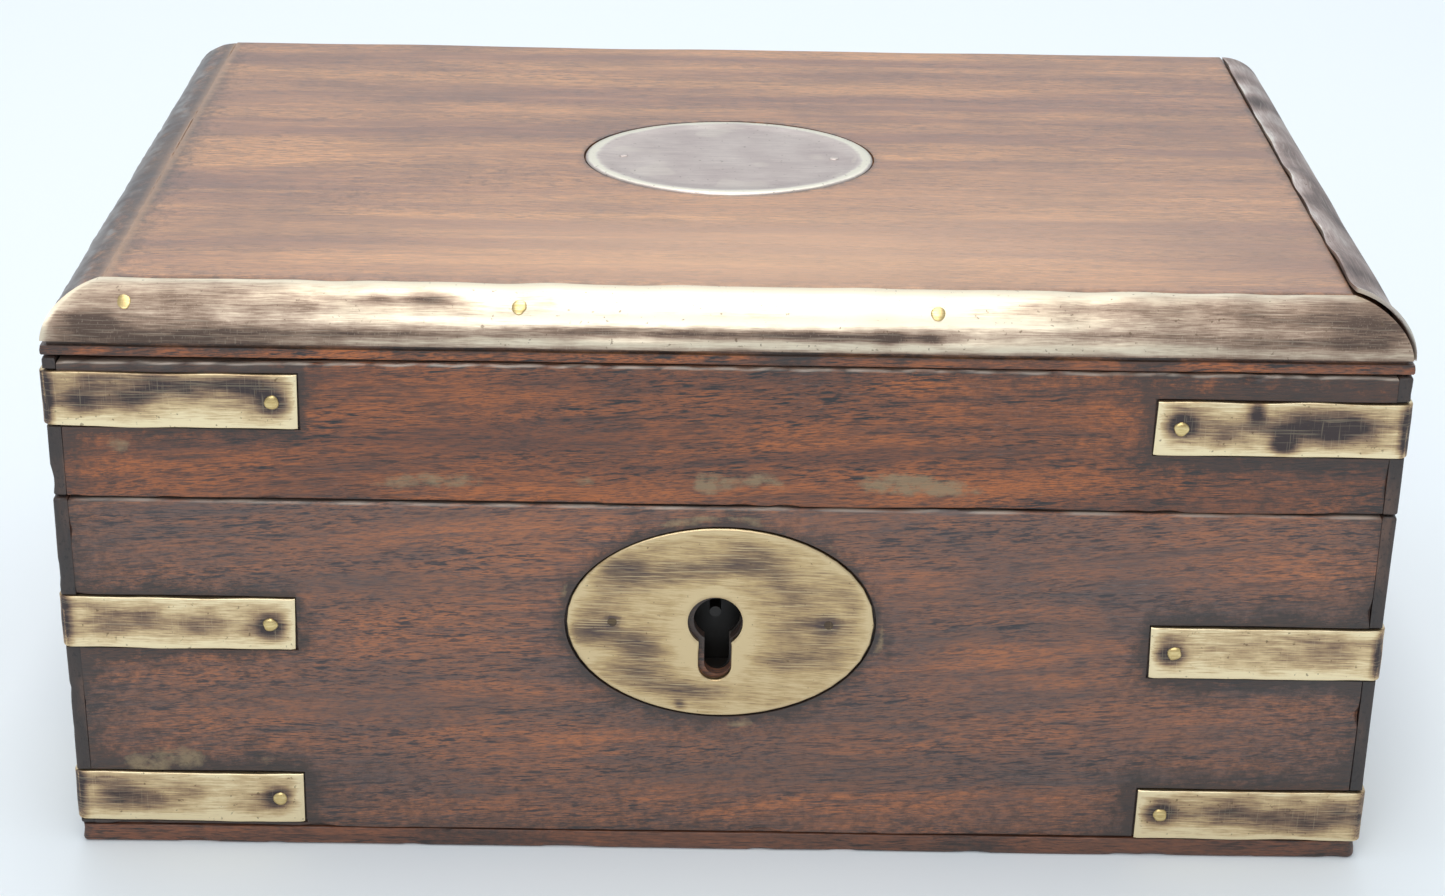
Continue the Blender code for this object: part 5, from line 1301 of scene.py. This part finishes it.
def add_frame_pins():
    """The pins that the frame holds: in the front strip, the plaque, the escutcheon and the front legs."""
    pins = [name for name in NODES if "_pin_" in name and not name.startswith(("hinge", "lock"))]
    for name in sorted(pins):
        low, high = corners_of(name)
        x, y, z = (low + high) / 2
        out, material, head, dome = (0, -1, 0), PIN_BRASS, 1.15 * MM, 0.42 * MM
        if "edge_strip" in name:
            tilt = math.radians(50)
            out, dome = (0, -math.cos(tilt), math.sin(tilt)), 0.16 * MM
            spot = (x, FRONT + ROUND + ROUND * out[1], LIP + ROUND * out[2])
        elif "plaque" in name:
            out, material, head, dome = (0, 0, 1), PLAQUE_BRASS, 0.8 * MM, 0.12 * MM
            spot = (x, y, high[2] - 0.45 * MM)
        elif "escutcheon" in name:
            material, head, dome = HINGE_BRASS, 0.85 * MM, 0.1 * MM
            spot = (x, low[1] + 0.35 * MM, z)
        else:
            spot = (x, low[1] + 0.32 * MM, z)
        body = "lid" if name.startswith(("lid", "front_edge")) else "base"
        piece = add_pin(name.replace("_pin_", "_head_"), head, dome, spot, out, material, body, name, (name,))
        if "escutcheon" in name:
            carry(piece, "tarnish", np.full(len(piece.data.vertices), 0.45))


def add_strap_pins():
    """A pin near the end of each strap's side leg, and of its leg across the back."""
    for strap in STRAPS:
        (low, high), _ = legs(strap)
        x_side, y_side = np.sign(low[:2] + high[:2])
        reach = high[0] - low[0] - PROUD - PIN_INSET
        middle = (low[2] + high[2]) / 2
        body = "lid" if strap.startswith("lid") else "base"
        beside = (x_side * (WIDTH / 2 + PROUD), y_side * (DEPTH / 2 - reach), middle)
        behind = (x_side * (WIDTH / 2 - reach), BACK + PROUD, middle)
        places = [("side", beside, (x_side, 0, 0)), ("back", behind, (0, 1, 0))]
        for where, spot, out in places if y_side > 0 else places[:1]:
            name = f"{strap}_head_{where}"
            add_pin(name, 1.15 * MM, 0.28 * MM, spot, out, PIN_BRASS, body, strap + where)


def add_inner_lids():
    """The two inner lids, and on each a turned knob: a foot, a neck and a ball."""
    for word in ("left", "right"):
        body = f"inner_lid_{word}"
        corners, arris = rectangle(*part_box(body)), (0.3 * MM, 1.0 * MM)
        stand_board(
            f"well_cover_{word}", body, corners, [0.6 * MM] * 4, [3 * MM] * 4, arris,
            INNER_WOOD, body, 1 * MM,
        )
        knob = f"inner_lid_knob_{word}"
        low, high = corners_of(knob)
        x, y, _ = (low + high) / 2
        foot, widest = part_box(body)[1].z + 0.05 * MM, (high[0] - low[0]) / 2
        stem = np.array([(3.9, 0), (4.1, 0.3), (3.9, 0.8), (2.9, 1.1), (2.1, 1.7), (1.8, 2.4)]) * MM
        stem += [0, foot]
        swell, ball = np.radians(np.linspace(-62, 90, 18)), 3.6 * MM
        ball = np.stack([widest * np.cos(swell), high[2] - ball + ball * np.sin(swell)], axis=1)
        ball[-1, 0] = 0
        screw = [(0, low[2]), (1.5 * MM, low[2]), (1.5 * MM, foot)]
        profile = np.concatenate([screw, stem, ball])
        place, up = (x, y, 0), (0, 0, 1)
        turned(f"well_knob_{word}", profile, place, up, HINGE_BRASS, body, (knob,), sides=40)


def dress_frame():
    """New materials for the pieces of the frame that keep their own shape."""
    finishes = {
        "hinge_": HINGE_BRASS,
        "link_plate": HINGE_BRASS,
        # the lock brass is painted near black as shade where it lies down in the board
        "lock_plate": LOCK_BRASS,
        "lock_key_pin": LOCK_BRASS,
        "lock_": IRON,
        "partition": INNER_WOOD,
        "inner_lid_slip": INNER_WOOD,
    }
    for name, node in NODES.items():
        for start, material in finishes.items():
            if name.startswith(start):
                node.data.materials.clear()
                node.data.materials.append(material)
                break


# ---------------------------------------------------------------- floor, light and camera


def add_floor():
    """A pale sheet that lies flat under the box and curves up far behind it."""
    reach, bend = 3.0, 1.5
    turn = np.radians(np.linspace(-90, 0, 24))
    depth = np.concatenate([[-3.0, 0.0, reach], reach + bend * np.cos(turn), [reach + bend]])
    level = np.concatenate([[0.0, 0.0, 0.0], bend + bend * np.sin(turn), [6.0]])
    width = np.linspace(-5, 5, 11)
    x, row = np.meshgrid(width, np.arange(len(depth)))
    points = np.stack([x, depth[row], level[row]], axis=2).reshape(-1, 3)
    mesh = bpy.data.meshes.new("floor")
    mesh.from_pydata(points.tolist(), [], lattice(len(depth), len(width)).tolist())
    mesh.shade_smooth()
    floor = bpy.data.objects.new("floor", mesh)
    bpy.context.scene.collection.objects.link(floor)
    material, _, shader, _ = new_material("pale_painted_board")
    shader.inputs["Base Color"].default_value = paint("#eef5f9")
    shader.inputs["Roughness"].default_value = 0.6
    shader.inputs["Specular IOR Level"].default_value = 0.3
    mesh.materials.append(material)


def add_light(name, spot, aim, size, power, colour):
    data = bpy.data.lights.new(name, "AREA")
    data.shape = "RECTANGLE"
    data.size, data.size_y = size
    data.energy = power
    data.color = paint(colour)[:3]
    lamp = bpy.data.objects.new(name, data)
    lamp.location = spot
    lamp.rotation_euler = (Vector(aim) - Vector(spot)).to_track_quat("-Z", "Y").to_euler()
    bpy.context.scene.collection.objects.link(lamp)


def add_studio():
    """A pale sky all round, and three soft panels: over the box, behind it and before it."""
    world = bpy.data.worlds.new("studio")
    world.use_nodes = True
    sky = world.node_tree.nodes["Background"]
    sky.inputs["Color"].default_value = paint("#f1f5fa")
    sky.inputs["Strength"].default_value = 0.64
    bpy.context.scene.world = world
    bpy.context.scene.view_settings.view_transform = "Standard"
    add_light("overhead", (-0.03, 0.14, 1.2), (-0.03, 0.12, 0), (0.46, 1.35), 6.3, "#fffefc")
    add_light("behind", (0.0, 1.25, 1.0), (0, 0, 0.05), (1.8, 0.7), 2.9, "#f6f8ff")
    add_light("before", (-0.2, -1.3, 1.1), (0, 0, 0.0), (1.2, 0.9), 8.2, "#fafcff")


def add_camera():
    """A camera half a metre before the box, looking down on it, almost level and almost square to it."""
    data = bpy.data.cameras.new("camera")
    data.sensor_width = 36
    data.lens = 70.63
    data.clip_start = 0.01
    camera = bpy.data.objects.new("camera", data)
    bpy.context.scene.collection.objects.link(camera)
    pitch, yaw, roll = (math.radians(angle) for angle in (24.079, 0.273, 0.952))
    ahead = Vector((math.sin(yaw) * math.cos(pitch), math.cos(yaw) * math.cos(pitch), -math.sin(pitch)))
    right = Vector((math.cos(yaw), -math.sin(yaw), 0))
    up = right.cross(ahead)
    rolled_right = right * math.cos(roll) + up * math.sin(roll)
    rolled_up = up * math.cos(roll) - right * math.sin(roll)
    spot = Vector((-2.49, -458.29, 245.62)) * MM
    turn = Matrix((rolled_right, rolled_up, -ahead)).transposed().to_4x4()
    camera.matrix_world = Matrix.Translation(spot) @ turn
    bpy.context.scene.camera = camera


add_base_front()
add_lid_front()
add_backs()
add_sides()
add_bottom()
add_top_board()
add_front_strip()
add_right_strip()
for strap in STRAPS:
    add_strap(strap)
add_escutcheon()
add_plaque()
add_frame_pins()
add_strap_pins()
add_inner_lids()
dress_frame()
add_floor()
add_studio()
add_camera()
